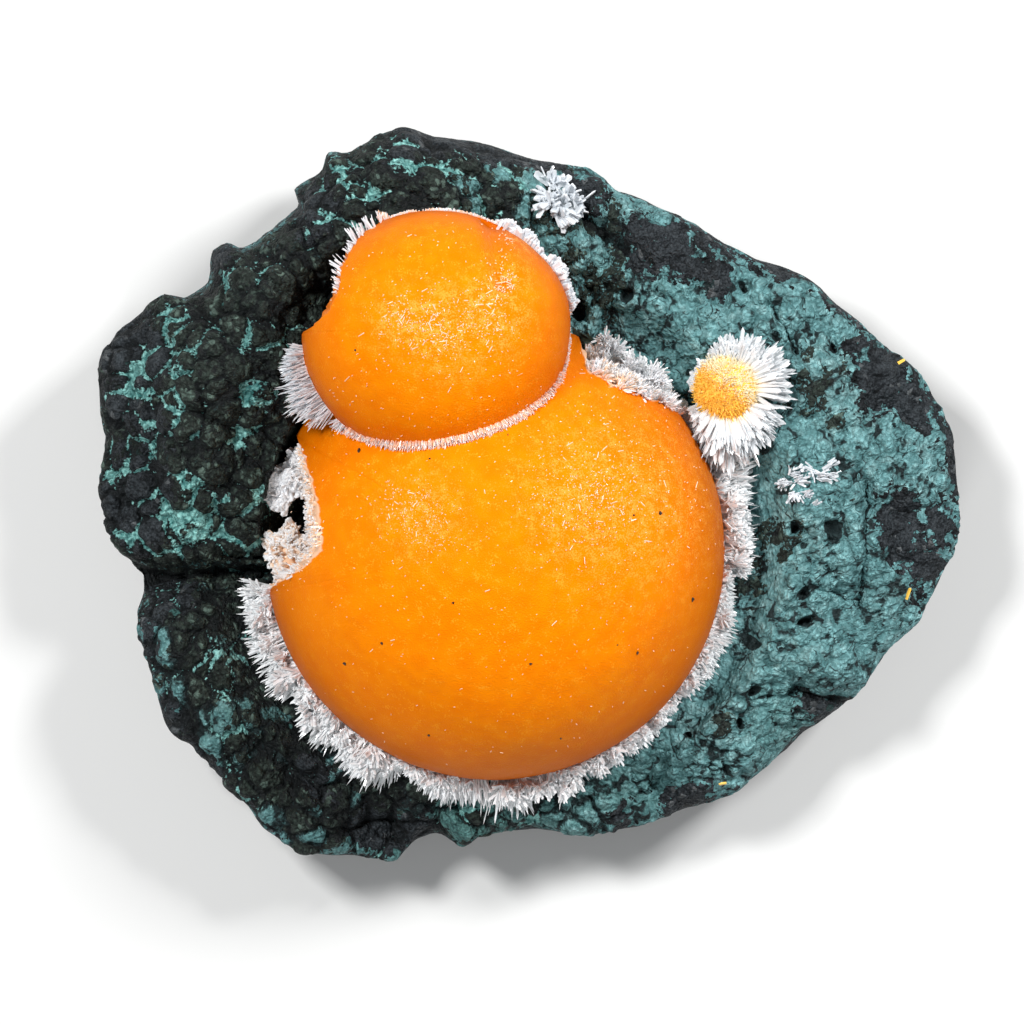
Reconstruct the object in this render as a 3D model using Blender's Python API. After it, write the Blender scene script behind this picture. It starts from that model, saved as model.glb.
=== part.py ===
"""Thomsonite on basalt: a mineral specimen lying on the flat spot of its rock.

A large orange dome of radiating needles, with a smaller dome grown over its upper edge, fills a dish in a
loose piece of basalt. White, unstained needles stand out round the foot of each dome. A small tuft and a few
groups of white crystals grow beside them.

Driving dimensions are in millimetres. The origin is on the rock's flat spot, straight below the middle of the
large dome. +X runs along the rock's longest extent and +Z points up, out of the crystal side.
"""

import math

import bmesh
import bpy
import numpy as np
from mathutils import Matrix, Vector

for existing in list(bpy.data.objects):
    bpy.data.objects.remove(existing)

MM = 0.001
GAP = 0.45
DISH_MARGIN = 2.2

# The large dome is a little flatter than a ball, and its hidden foot is a shallow lens.
LARGE_CENTRE = (0.0, 0.0, 13.0)
LARGE_RADIUS = 20.0
LARGE_RISE = 18.0
LARGE_FOOT = 6.0

# The smaller dome, wider than it is deep, leans over the large one and has a low lobe on its right.
SMALL_CENTRE = (-5.1, 18.5, 23.5)
SMALL_RADII = (11.4, 10.6, 10.0)
SIDE_LOBE_CENTRE = (1.6, 21.4, 24.0)
SIDE_LOBE_RADII = (5.3, 5.7, 7.4)

# Two places where the orange skin stops short and the rock shows.
LARGE_NOTCH = ((-20.9, 2.4, 15.0), (6.5, 6.3, 19.0))
SMALL_NOTCH = ((-16.2, 24.6, 24.0), (4.6, 4.2, 14.0))

# The rock's outline seen from above, as (x, y) corners, counter-clockwise from its right-hand end.
RIM = (
    (40.7, 1.6), (40.7, 6.1), (40.4, 9.1), (38.0, 14.4), (36.6, 16.1), (34.2, 17.8), (30.0, 21.5),
    (27.6, 23.5), (25.2, 24.6), (22.2, 25.5), (18.1, 27.9), (13.0, 30.4), (10.7, 31.2), (9.5, 32.6),
    (7.8, 33.6), (4.3, 34.1), (0.9, 35.0), (-5.7, 36.3), (-8.4, 37.0), (-10.5, 36.3), (-12.4, 35.2),
    (-14.6, 35.0), (-15.4, 33.4), (-17.6, 31.6), (-17.0, 29.8), (-20.3, 27.1), (-22.0, 26.2),
    (-23.4, 26.8), (-24.6, 26.1), (-25.1, 23.0), (-26.8, 21.9), (-29.0, 22.4), (-30.8, 21.1),
    (-34.5, 17.1), (-34.5, 12.4), (-34.0, 9.2), (-34.8, 6.1), (-33.9, 1.5), (-32.8, -0.1),
    (-30.3, -2.2), (-30.3, -3.5), (-31.2, -5.6), (-31.0, -8.0), (-30.0, -11.0), (-28.9, -15.4),
    (-26.6, -17.3), (-24.1, -19.7), (-21.6, -22.6), (-20.2, -24.8), (-18.2, -26.4), (-13.0, -26.8),
    (-8.7, -27.1), (-6.9, -25.3), (-5.1, -24.7), (-2.8, -26.1), (-1.1, -25.1), (3.0, -24.3),
    (7.0, -25.1), (12.4, -24.5), (16.4, -22.9), (19.2, -22.2), (23.4, -19.5), (26.6, -16.2),
    (29.0, -14.9), (32.5, -11.9), (34.2, -9.2), (37.0, -6.5), (39.3, -2.4),
)

# Where the crystals' ledge lies, how high the rock's widest line runs round it, how much of the outline its
# foot has, and how far the level middle of the flat spot reaches.
LEDGE = 12.4
WAIST = 6.6
WAIST_SWELL = 1.6
FOOT_SHARE = 0.74
FLAT_SPOT = 11.0

# Mounds and hollows of the crystal side: middle x and y, reach and rise.
MOUNDS = (
    (-9.0, 32.0, 8.0, 8.6),
    (-18.0, 25.0, 8.0, 8.4),
    (-25.0, 12.0, 9.5, 6.0),
    (-22.0, 18.0, 7.0, 2.6),
    (3.0, 30.5, 7.0, 4.0),
    (-24.0, -11.0, 7.0, 1.6),
    (27.0, 9.0, 12.0, 2.6),
    (29.5, -10.5, 4.0, 2.4),
    (15.0, 27.0, 5.0, 1.6),
    (-9.6, -24.6, 4.2, -4.6),
    (13.8, -20.6, 2.6, -3.6),
    (31.0, -6.0, 2.6, -1.6),
    (8.0, 22.5, 4.5, -2.0),
    (-15.2, 22.2, 2.6, -3.2),
)

# Clefts of the crystal side: both ends, half width and depth.
CLEFTS = (
    (-32.5, -2.4, -20.5, -2.0, 1.5, 5.6),
    (32.4, 5.6, 31.9, -5.0, 0.8, 1.4),
    (26.6, -11.9, 31.5, -13.4, 1.1, 3.0),
    (7.6, 28.8, 11.5, 26.2, 1.2, 1.8),
)

# Size and height of the lumps on the crystal side, and of the broken facets round the sides.
LUMP_SIZE = 6.4
LUMP_RISE = 1.5
CHIP_SIZE = 9.0
CHIP_DEPTH = 2.2

# Shelf that the white skirt lies on, with the stretch that it covers in degrees.
SKIRT_START, SKIRT_END = -170.0, 62.0
SKIRT_UNDERSIDE = 11.5
SHELF_EDGE = 24.4

# Level seats that the small groups of crystals stand on: middle x and y, reach and height.
TUFT_MIDDLE = (20.3, 14.3)
TOP_PATCH_MIDDLE = (5.65, 30.9)
RIGHT_PATCH_MIDDLE = (27.8, 6.4)
UPPER_SPRAY_MIDDLE = (-19.1, 4.9)
LOWER_SPRAY_MIDDLE = (-18.4, -0.2)
SEATS = (
    (*TUFT_MIDDLE, 6.8, 14.0),
    (*TOP_PATCH_MIDDLE, 3.4, 16.4),
    (*RIGHT_PATCH_MIDDLE, 2.8, 15.2),
    (*UPPER_SPRAY_MIDDLE, 3.8, 10.3),
    (*LOWER_SPRAY_MIDDLE, 3.4, 10.3),
)

ROCK_COLUMNS, ROCK_ROWS = 76, 28


# Repeatable random numbers and cell patterns


def scattered(cell, channel):
    """A repeatable number from 0 to 1 for each whole-numbered cell (n, 3)."""
    mixed = cell.astype(np.int64).astype(np.uint32)
    hashed = mixed[..., 0] * np.uint32(374761393) + mixed[..., 1] * np.uint32(668265263)
    hashed = hashed + mixed[..., 2] * np.uint32(2246822519) + np.uint32(3266489917 * (channel + 1) % 2**32)
    hashed = (hashed ^ (hashed >> np.uint32(15))) * np.uint32(2246822519)
    hashed = (hashed ^ (hashed >> np.uint32(13))) * np.uint32(3266489917)
    return (hashed ^ (hashed >> np.uint32(16))) / 2.0**32


def nearest_lump(points, size, channel):
    """Distance, in cells, from each point to the nearest scattered lump centre."""
    scaled = points / size
    nearest = np.full(len(points), 9.0)
    steps = [(i, j, k) for i in (-1, 0, 1) for j in (-1, 0, 1) for k in (-1, 0, 1)]
    for step in steps:
        cell = np.floor(scaled) + np.array(step)
        centre = cell + np.stack([scattered(cell, channel + axis) for axis in range(3)], axis=-1)
        nearest = np.minimum(nearest, np.linalg.norm(centre - scaled, axis=1))
    return nearest


# The rock


def rim_radius(angle):
    """Distance of the outline from the origin at each angle, on a smooth closed curve through RIM."""
    corners = np.array(RIM)
    corner_angle = np.unwrap(np.arctan2(corners[:, 1], corners[:, 0]))
    radius = np.hypot(corners[:, 0], corners[:, 1])
    turn = 2 * math.pi
    knots = np.concatenate([corner_angle - turn, corner_angle, corner_angle + turn])
    values = np.tile(radius, 3)
    slopes = np.gradient(values, knots)
    angle = np.mod(angle - corner_angle[0], turn) + corner_angle[0]
    left = np.searchsorted(knots, angle, side="right") - 1
    span = knots[left + 1] - knots[left]
    t = (angle - knots[left]) / span
    return (
        values[left] * (1 + 2 * t) * (1 - t) ** 2
        + slopes[left] * span * t * (1 - t) ** 2
        + values[left + 1] * t**2 * (3 - 2 * t)
        + slopes[left + 1] * span * t**2 * (t - 1)
    )


def crystal_side(x, y):
    """Height of the rock's crystal side: a ledge with mounds, hollows and clefts on it."""
    height = np.full(x.shape, LEDGE)
    for middle_x, middle_y, reach, rise in MOUNDS:
        height += rise * np.exp(-((x - middle_x) ** 2 + (y - middle_y) ** 2) / reach**2)
    for x0, y0, x1, y1, half_width, depth in CLEFTS:
        length_squared = (x1 - x0) ** 2 + (y1 - y0) ** 2
        along = np.clip(((x - x0) * (x1 - x0) + (y - y0) * (y1 - y0)) / length_squared, 0, 1)
        away = np.hypot(x - x0 - along * (x1 - x0), y - y0 - along * (y1 - y0))
        height -= depth * np.exp(-((away / half_width) ** 2))
    return height


def crystal_underside(x, y):
    """Highest level that the rock may reach at each place, so that all that grows on it lies clear."""
    limit = np.full(x.shape, 1e3)
    domes = (
        (LARGE_CENTRE, (LARGE_RADIUS, LARGE_RADIUS, LARGE_FOOT)),
        (SMALL_CENTRE, SMALL_RADII),
        (SIDE_LOBE_CENTRE, SIDE_LOBE_RADII),
    )
    for centre, radii in domes:
        out = np.hypot((x - centre[0]) / (radii[0] + DISH_MARGIN), (y - centre[1]) / (radii[1] + DISH_MARGIN))
        reach = centre[2] - radii[2] * np.sqrt(np.clip(1 - out**2, 0, 1))
        limit = np.where(out < 1, np.minimum(limit, reach), limit)
    angle = np.degrees(np.arctan2(y, x))
    skirted = (angle < SKIRT_END + 3) | (angle > 360 + SKIRT_START - 3)
    out = np.hypot(x, y)
    shelf = SKIRT_UNDERSIDE + np.clip(out - SHELF_EDGE, 0, None) * 1.3
    limit = np.where(skirted & (out > LARGE_RADIUS - 1), np.minimum(limit, shelf), limit)
    for middle_x, middle_y, reach, level in SEATS:
        beyond = np.clip(np.hypot(x - middle_x, y - middle_y) - reach, 0, None)
        limit = np.minimum(limit, level + beyond * 1.3)
    return limit - GAP


def rock_surface(azimuth, polar):
    """Points of the rock for a ball's azimuth and polar angle, both in radians.

    From the top pole to the middle the crystal side runs out to the outline and rolls over to the waist, from
    there the rock draws in to its foot, and below that it is flat round the bottom pole.
    """
    radius = rim_radius(azimuth)
    steady = np.mean([rim_radius(azimuth + math.radians(turn)) for turn in range(-16, 17, 4)], axis=0)
    lower = np.clip((polar - math.radians(80)) / math.radians(45), 0, 1)
    radius = radius + (steady - radius) * lower
    across, up = np.cos(azimuth), np.sin(azimuth)
    waist = WAIST + WAIST_SWELL * np.sin(2 * azimuth + 0.9) + 1.4 * np.cos(azimuth - 1.8)

    over = np.clip(polar, 0, math.pi / 2)
    share = np.sin(over) ** 0.5
    level = np.cos(over) ** 0.42
    tuck = np.clip(polar - math.pi / 2, 0, math.pi / 4) * 2
    share = np.where(polar > math.pi / 2, FOOT_SHARE + (1 - FOOT_SHARE) * np.cos(tuck), share)
    flat = np.clip((math.pi - polar) / (math.pi / 4), 0, 1)
    share = np.where(polar > 0.75 * math.pi, FOOT_SHARE * flat, share)

    x, y = share * radius * across, share * radius * up
    top = waist + (crystal_side(x, y) - waist) * level
    z = np.where(polar > math.pi / 2, waist * (1 - np.sin(tuck)), top)
    points = np.stack([x, y, z], axis=-1)

    lump = LUMP_RISE * (np.clip(1 - nearest_lump(points, LUMP_SIZE, channel=11) ** 2, 0, 1) - 0.55)
    chip = CHIP_DEPTH * (0.45 - nearest_lump(points, CHIP_SIZE, channel=31))

    facing_up = np.where(polar < math.pi / 2, level**2, 0.0)
    below = np.where(polar > math.pi / 2, np.sin(tuck), 0.0)
    sideways = np.sqrt(np.clip(1 - facing_up**2 - below**2, 0, 1))
    relief = np.where(polar < math.pi / 2, lump * facing_up + chip * (1 - facing_up), chip)
    beyond = np.clip((np.hypot(x, y) - FLAT_SPOT) / 8, 0, 1)
    relief = np.where(polar > 0.6 * math.pi, relief * beyond, relief)
    points[:, 0] += relief * sideways * across * 0.5
    points[:, 1] += relief * sideways * up * 0.5
    points[:, 2] += relief * (facing_up - below)
    points[:, 2] = np.minimum(points[:, 2], crystal_underside(points[:, 0], points[:, 1]))
    points[:, 2] = np.maximum(points[:, 2], 0.0)
    return points


def make_rock():
    """A ball's net of vertices laid over the rock's surface."""
    bm = bmesh.new()
    bmesh.ops.create_uvsphere(bm, u_segments=ROCK_COLUMNS, v_segments=ROCK_ROWS, radius=1.0)
    net = np.array([vertex.co for vertex in bm.verts])
    azimuth = np.arctan2(net[:, 1], net[:, 0])
    polar = np.arccos(np.clip(net[:, 2], -1, 1))
    for vertex, point in zip(bm.verts, rock_surface(azimuth, polar)):
        vertex.co = Vector(point) * MM
    bmesh.ops.triangulate(bm, faces=bm.faces)
    return finish_mesh(bm, "basalt_matrix", basalt(), sharp_above=35)


# Finishing and joining


def material(name, colour, roughness):
    made = bpy.data.materials.new(name)
    made.use_nodes = True
    shader = made.node_tree.nodes["Principled BSDF"]
    shader.inputs["Base Color"].default_value = (*colour, 1.0)
    shader.inputs["Roughness"].default_value = roughness
    shader.inputs["Metallic"].default_value = 0.0
    made.diffuse_color = (*colour, 1.0)
    return made


def basalt():
    return material("dark basalt with celadonite", (0.07, 0.15, 0.15), 0.85)


def orange_thomsonite():
    return material("orange thomsonite", (0.95, 0.28, 0.01), 0.45)


def white_thomsonite():
    return material("white thomsonite", (0.78, 0.8, 0.82), 0.35)


def golden_thomsonite():
    return material("golden thomsonite", (0.95, 0.6, 0.2), 0.4)


def finish_mesh(bm, name, surface, sharp_above=None, collection=None):
    """Turns an edited mesh into a named object with its material."""
    bmesh.ops.recalc_face_normals(bm, faces=bm.faces)
    mesh = bpy.data.meshes.new(name)
    bm.to_mesh(mesh)
    bm.free()
    mesh.materials.append(surface)
    if sharp_above is not None:
        mesh.shade_smooth()
        mesh.set_sharp_from_angle(angle=math.radians(sharp_above))
    made = bpy.data.objects.new(name, mesh)
    (collection or SPECIMEN).objects.link(made)
    return made


def helper_collection(name):
    """A collection of shapes that others are cut or joined with, kept out of the finished part."""
    made = bpy.data.collections.new(name)
    bpy.context.scene.collection.children.link(made)
    return made


def hide(helper):
    helper.hide_render = True
    helper.display_type = "WIRE"


def combine(target, helper, operation):
    modifier = target.modifiers.new(f"{operation.lower()} {helper.name}", "BOOLEAN")
    modifier.operation = operation
    modifier.object = helper
    modifier.solver = "EXACT"
    hide(helper)


# The orange domes


def ball(name, centre, radii, segments, rings, surface, foot=None, collection=None):
    """A ball with its own reach along each axis; foot, where given, is its shallower reach downwards."""
    bm = bmesh.new()
    bmesh.ops.create_uvsphere(bm, u_segments=segments, v_segments=rings, radius=1.0)
    for vertex in bm.verts:
        down = foot if foot is not None and vertex.co.z < 0 else radii[2]
        vertex.co = Vector((vertex.co.x * radii[0], vertex.co.y * radii[1], vertex.co.z * down))
        vertex.co = (vertex.co + Vector(centre)) * MM
    return finish_mesh(bm, name, surface, sharp_above=40, collection=collection)


def make_twin_ball():
    """The large and the smaller dome joined, with the two notches cut out of their skins."""
    orange = orange_thomsonite()
    radii = (LARGE_RADIUS, LARGE_RADIUS, LARGE_RISE)
    twin = ball("orange_twin_ball", LARGE_CENTRE, radii, 40, 20, orange, foot=LARGE_FOOT)
    small = ball("smaller dome", SMALL_CENTRE, SMALL_RADII, 28, 14, orange, collection=HELPERS)
    lobe = ball("side lobe", SIDE_LOBE_CENTRE, SIDE_LOBE_RADII, 16, 10, orange, collection=HELPERS)
    combine(twin, small, "UNION")
    combine(twin, lobe, "UNION")
    for name, (centre, radii) in (("large notch", LARGE_NOTCH), ("small notch", SMALL_NOTCH)):
        cutter = ball(name, centre, radii, 16, 10, orange, collection=HELPERS)
        combine(twin, cutter, "DIFFERENCE")
    return twin


# The white needles round the domes


def large_dome_height(x, y):
    """Height of the large dome's skin, and a very low number outside it."""
    out = np.hypot(x, y) / LARGE_RADIUS
    skin = LARGE_CENTRE[2] + LARGE_RISE * math.sqrt(max(0.0, 1 - out**2))
    return skin if out < 1 else -1e3


def needle_ring(name, start, end, columns, place, surface):
    """An open ring with a jagged outer edge, spun from a four-cornered section.

    place gives the position of each of the section's corners (foot, tip, shoulder and top) in each column.
    """
    bm = bmesh.new()
    corners = [bm.verts.new((1.0 + 0.1 * k, 0, 0.01 * k * (3 - k))) for k in range(4)]
    section = bm.faces.new(corners)
    sweep = math.radians(end - start)
    spun = bmesh.ops.spin(bm, geom=[section], cent=(0, 0, 0), axis=(0, 0, 1), angle=sweep, steps=columns)
    bmesh.ops.remove_doubles(bm, verts=bm.verts, dist=1e-6)
    last = [part for part in spun["geom_last"] if isinstance(part, bmesh.types.BMVert)]
    final = {vertex: corner for vertex, corner in zip(sorted(last, key=lambda v: v.co.xy.length), range(4))}
    for vertex in bm.verts:
        corner = round((vertex.co.xy.length - 1.0) / 0.1)
        turned = math.degrees(math.atan2(vertex.co.y, vertex.co.x)) % 360
        column = columns if vertex in final else round(turned * columns / (end - start)) % (columns + 1)
        angle = math.radians(start + (end - start) * column / columns)
        vertex.co = Vector(place(angle, column, corner)) * MM
    bmesh.ops.triangulate(bm, faces=bm.faces)
    return finish_mesh(bm, name, surface)


def spike(column, shortest, channel):
    """Share of its full length that the needle in a column has: every other one is short."""
    chance = float(scattered(np.array([[column, 7, 3]]), channel)[0])
    return shortest * (0.85 + 0.3 * chance) if column % 2 else 0.82 + 0.18 * chance


def make_skirt():
    """The white foot of the large dome: needles standing straight out from under its orange skin."""
    angles = (-170, -165, -160, -152, -139, -120, -105, -90, -72, -60, -30, -15, 0, 12, 24, 34, 48, 62)
    reaches = (
        *(22.9, 22.6, 22.7, 23.6, 22.6, 22.1, 22.2, 23.6, 23.1),
        *(21.9, 21.8, 22.3, 22.9, 23.6, 23.6, 22.4, 21.3, 21.0),
    )

    def place(angle, column, corner):
        inner = LARGE_RADIUS + 0.35
        reach = inner + (np.interp(math.degrees(angle), angles, reaches) - inner) * spike(column, 0.55, 51)
        shoulder = inner + (reach - inner) * 0.5
        out, up = ((inner, 11.5), (reach, 12.3), (shoulder, 13.3), (inner, 13.6))[corner]
        return out * math.cos(angle), out * math.sin(angle), up

    return needle_ring("ball_skirt", SKIRT_START, SKIRT_END, 140, place, white_thomsonite())


def small_outline(angle):
    """Distance from the smaller dome's middle to its outline, with the side lobe, along an angle."""
    across, up = math.cos(angle), math.sin(angle)
    reach = 1 / math.hypot(across / SMALL_RADII[0], up / SMALL_RADII[1])
    along = Vector((across / SIDE_LOBE_RADII[0], up / SIDE_LOBE_RADII[1]))
    back = Vector(
        (
            (SMALL_CENTRE[0] - SIDE_LOBE_CENTRE[0]) / SIDE_LOBE_RADII[0],
            (SMALL_CENTRE[1] - SIDE_LOBE_CENTRE[1]) / SIDE_LOBE_RADII[1],
        )
    )
    inside = along.dot(back) ** 2 - along.dot(along) * (back.dot(back) - 1)
    if inside > 0:
        reach = max(reach, (math.sqrt(inside) - along.dot(back)) / along.dot(along))
    return reach


def make_collar():
    """The white needles round the foot of the smaller dome: long on its left, a thin rim in front."""
    angles = (186, 200, 225, 245, 270, 300, 330, 360, 395, 425, 460, 478, 500, 517)
    lengths = (2.6, 3.4, 2.6, 1.2, 0.9, 0.9, 0.9, 0.9, 1.6, 1.5, 1.2, 2.0, 3.0, 3.2)

    def place(angle, column, corner):
        outline = small_outline(angle)
        inner = outline + 0.4
        for _ in range(8):
            x = SMALL_CENTRE[0] + inner * math.cos(angle)
            y = SMALL_CENTRE[1] + inner * math.sin(angle)
            rise = max(0.0, large_dome_height(x, y) + GAP - SMALL_CENTRE[2]) / SMALL_RADII[2]
            inner = 0.5 * inner + 0.5 * (outline * math.sqrt(1 - min(rise, 0.9) ** 2) + 0.4)
        length = np.interp(math.degrees(angle), angles, lengths) * spike(column, 0.6, 61)
        out = inner + length * (0, 1, 0.5, 0)[corner]
        up = SMALL_CENTRE[2] + (-0.9, -0.4, 0.3, 0.6)[corner]
        x = SMALL_CENTRE[0] + out * math.cos(angle)
        y = SMALL_CENTRE[1] + out * math.sin(angle)
        lift = (0.0, 0.15, 0.5, 0.8)[corner]
        return x, y, max(up, large_dome_height(x, y) + GAP + lift)

    return needle_ring("upper_collar", 186, 517, 72, place, white_thomsonite())


# The tuft and the small groups of crystals


def make_tuft():
    """A small golden half-ball of needles with white rays, longest away from the large dome."""
    angles = (-180, -150, -110, -75, -30, 0, 40, 80, 120, 150, 180)
    reaches = (3.5, 3.6, 5.0, 5.6, 6.0, 6.1, 5.6, 4.6, 3.8, 3.5, 3.5)
    bm = bmesh.new()
    bmesh.ops.create_uvsphere(bm, u_segments=28, v_segments=8, radius=1.0)
    for vertex in bm.verts:
        angle = math.atan2(vertex.co.y, vertex.co.x)
        column = round(math.degrees(angle) * 28 / 360) % 28
        level = vertex.co.z
        out = vertex.co.xy.length * 3.1
        if -0.5 < level < 0.5 and column % 2 == 0:
            out = np.interp(math.degrees(angle), angles, reaches) * spike(column * 2, 1.0, 71)
            out *= 1.0 if abs(level) < 0.2 else 0.72
        up = 15.0 + (level * 3.4 if level > 0 else level * 0.95)
        vertex.co = Vector(
            (TUFT_MIDDLE[0] + out * math.cos(angle), TUFT_MIDDLE[1] + out * math.sin(angle), up)
        )
        vertex.co *= MM
    bmesh.ops.triangulate(bm, faces=bm.faces)
    return finish_mesh(bm, "daisy_tuft", golden_thomsonite())


def make_cluster(name, middle, cushion, blades, surface):
    """Square-ended crystals fused to a low cushion: a group that has grown together.

    Each blade gives its bearing and its tilt from upright in degrees, its length and its width.
    """
    bm = bmesh.new()
    bmesh.ops.create_uvsphere(bm, u_segments=10, v_segments=6, radius=1.0)
    for vertex in bm.verts:
        level = max(vertex.co.z, 0.0)
        vertex.co = Vector((vertex.co.x * cushion[0], vertex.co.y * cushion[0], level * cushion[1]))
    bmesh.ops.dissolve_limit(bm, angle_limit=math.radians(1), verts=bm.verts, edges=bm.edges)
    for vertex in bm.verts:
        vertex.co = (vertex.co + Vector(middle)) * MM
    group = finish_mesh(bm, name, surface)
    crystals = helper_collection(f"crystals of {name}")
    for number, (bearing, tilt, length, width) in enumerate(blades):
        blade = bmesh.new()
        lean = Matrix.Rotation(math.radians(bearing), 4, "Z") @ Matrix.Rotation(math.radians(tilt), 4, "Y")
        place = Matrix.Translation(Vector(middle) + Vector((0, 0, 0.35))) @ lean
        place = place @ Matrix.Translation((0, 0, length / 2 + 0.25))
        wide, narrow = width * 0.7, width * 0.56
        bmesh.ops.create_cone(
            blade, cap_ends=True, segments=4, radius1=wide, radius2=narrow, depth=length, matrix=place
        )
        bmesh.ops.scale(blade, verts=blade.verts, vec=(MM, MM, MM))
        hide(finish_mesh(blade, f"{name} blade {number + 1}", surface, collection=crystals))
    modifier = group.modifiers.new("crystals", "BOOLEAN")
    modifier.operation = "UNION"
    modifier.operand_type = "COLLECTION"
    modifier.collection = crystals
    modifier.solver = "EXACT"
    return group


def make_clusters():
    white = white_thomsonite()
    make_cluster(
        "left_upper_spray",
        (*UPPER_SPRAY_MIDDLE, 10.2),
        (1.4, 0.9),
        (
            (95, 18, 4.2, 1.0),
            (150, 44, 3.8, 0.9),
            (190, 28, 4.4, 1.0),
            (235, 42, 3.6, 0.9),
            (20, 8, 4.4, 0.9),
        ),
        white,
    )
    make_cluster(
        "left_lower_spray",
        (*LOWER_SPRAY_MIDDLE, 10.2),
        (1.3, 0.9),
        (
            (95, 28, 4.2, 0.9),
            (160, 38, 3.8, 0.8),
            (215, 24, 4.2, 0.9),
            (280, 14, 4.0, 0.8),
            (30, 6, 4.6, 0.8),
        ),
        white,
    )
    make_cluster(
        "top_crystal_patch",
        (*TOP_PATCH_MIDDLE, 16.4),
        (1.9, 0.9),
        (
            (20, 52, 2.0, 1.2),
            (85, 40, 2.0, 1.3),
            (150, 55, 1.9, 1.2),
            (215, 45, 2.1, 1.3),
            (285, 52, 1.9, 1.2),
            (0, 6, 1.9, 1.4),
        ),
        white,
    )
    make_cluster(
        "right_crystal_patch",
        (*RIGHT_PATCH_MIDDLE, 15.2),
        (1.2, 0.7),
        (
            (60, 58, 1.9, 0.7),
            (140, 45, 1.6, 0.6),
            (250, 62, 2.0, 0.7),
            (300, 50, 1.8, 0.7),
            (0, 10, 1.6, 0.7),
        ),
        white,
    )


# Building the specimen

SPECIMEN = bpy.data.collections.new("Thomsonite specimen")
bpy.context.scene.collection.children.link(SPECIMEN)
HELPERS = helper_collection("Cutters and joined shapes")

make_rock()
make_twin_ball()
make_skirt()
make_collar()
make_tuft()
make_clusters()
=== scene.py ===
"""Thomsonite on basalt: the finished surfaces of the specimen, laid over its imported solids.

Sizes are in millimetres until they go into a mesh. The origin is under the middle of the large dome.
"""

import math

import bpy
import numpy as np
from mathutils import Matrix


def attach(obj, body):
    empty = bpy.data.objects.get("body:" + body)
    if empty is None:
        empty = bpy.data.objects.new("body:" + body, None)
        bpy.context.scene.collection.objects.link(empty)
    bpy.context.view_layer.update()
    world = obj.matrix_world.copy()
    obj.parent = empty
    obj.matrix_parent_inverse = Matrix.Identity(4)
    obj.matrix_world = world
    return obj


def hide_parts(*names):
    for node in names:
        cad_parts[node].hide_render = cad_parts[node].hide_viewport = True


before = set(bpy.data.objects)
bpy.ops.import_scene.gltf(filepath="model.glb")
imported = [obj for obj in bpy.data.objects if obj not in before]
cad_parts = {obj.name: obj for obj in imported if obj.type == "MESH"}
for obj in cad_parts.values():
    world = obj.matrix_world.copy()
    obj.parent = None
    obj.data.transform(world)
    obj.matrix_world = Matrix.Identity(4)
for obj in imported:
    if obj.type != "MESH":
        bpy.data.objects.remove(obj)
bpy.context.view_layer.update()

# The basalt
#
# A loose piece of fine dark grey lava rock, broken all round, with half of a gas pocket on its upper side. It
# is one solid and lies on the flat spot of its underside.

MM = 0.001
LEDGE, WAIST, WAIST_SWELL, FOOT_SHARE, FLAT_SPOT = 12.4, 6.6, 1.6, 0.74, 11.0
LARGE_CENTRE, LARGE_RADIUS, LARGE_RISE, LARGE_FOOT = (0.0, 0.0, 13.0), 20.0, 18.0, 6.0
SMALL_CENTRE, SMALL_RADII = (-5.1, 18.5, 23.5), (11.4, 10.6, 10.0)
SKIRT_START, SKIRT_END, SKIRT_UNDERSIDE, SHELF_EDGE = -170.0, 62.0, 11.3, 23.2
# How square the rock's brow is, and where it begins: share of the outline, and of the rise above the waist
BROW_POWER, BROW_SHARE, BROW_RISE = 0.42, 0.955, 0.687

RIM = (
    (40.7, 1.6), (40.7, 6.1), (40.4, 9.1), (38.0, 14.4), (36.6, 16.1), (34.2, 17.8), (30.0, 21.5),
    (27.6, 23.5), (25.2, 24.6), (22.2, 25.5), (18.1, 27.9), (13.0, 30.4), (10.7, 31.2), (9.5, 32.6),
    (7.8, 33.6), (4.3, 34.1), (0.9, 35.0), (-5.7, 36.3), (-8.4, 37.0), (-10.5, 36.3), (-12.4, 35.2),
    (-14.6, 35.0), (-15.4, 33.4), (-17.6, 31.6), (-17.0, 29.8), (-20.3, 27.1), (-22.0, 26.2),
    (-23.4, 26.8), (-24.6, 26.1), (-25.1, 23.0), (-26.8, 21.9), (-29.0, 22.4), (-30.8, 21.1),
    (-34.5, 17.1), (-34.5, 12.4), (-34.0, 9.2), (-34.8, 6.1), (-33.9, 1.5), (-32.8, -0.1), (-30.3, -2.2),
    (-30.3, -3.5), (-31.2, -5.6), (-31.0, -8.0), (-30.0, -11.0), (-28.9, -15.4), (-26.6, -17.3),
    (-24.1, -19.7), (-21.6, -22.6), (-20.2, -24.8), (-18.2, -26.4), (-13.0, -26.8), (-8.7, -27.1),
    (-6.9, -25.3), (-5.1, -24.7), (-2.8, -26.1), (-1.1, -25.1), (3.0, -24.3), (7.0, -25.1), (12.4, -24.5),
    (16.4, -22.9), (19.2, -22.2), (23.4, -19.5), (26.6, -16.2), (29.0, -14.9), (32.5, -11.9), (34.2, -9.2),
    (37.0, -6.5), (39.3, -2.4),
)

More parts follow.
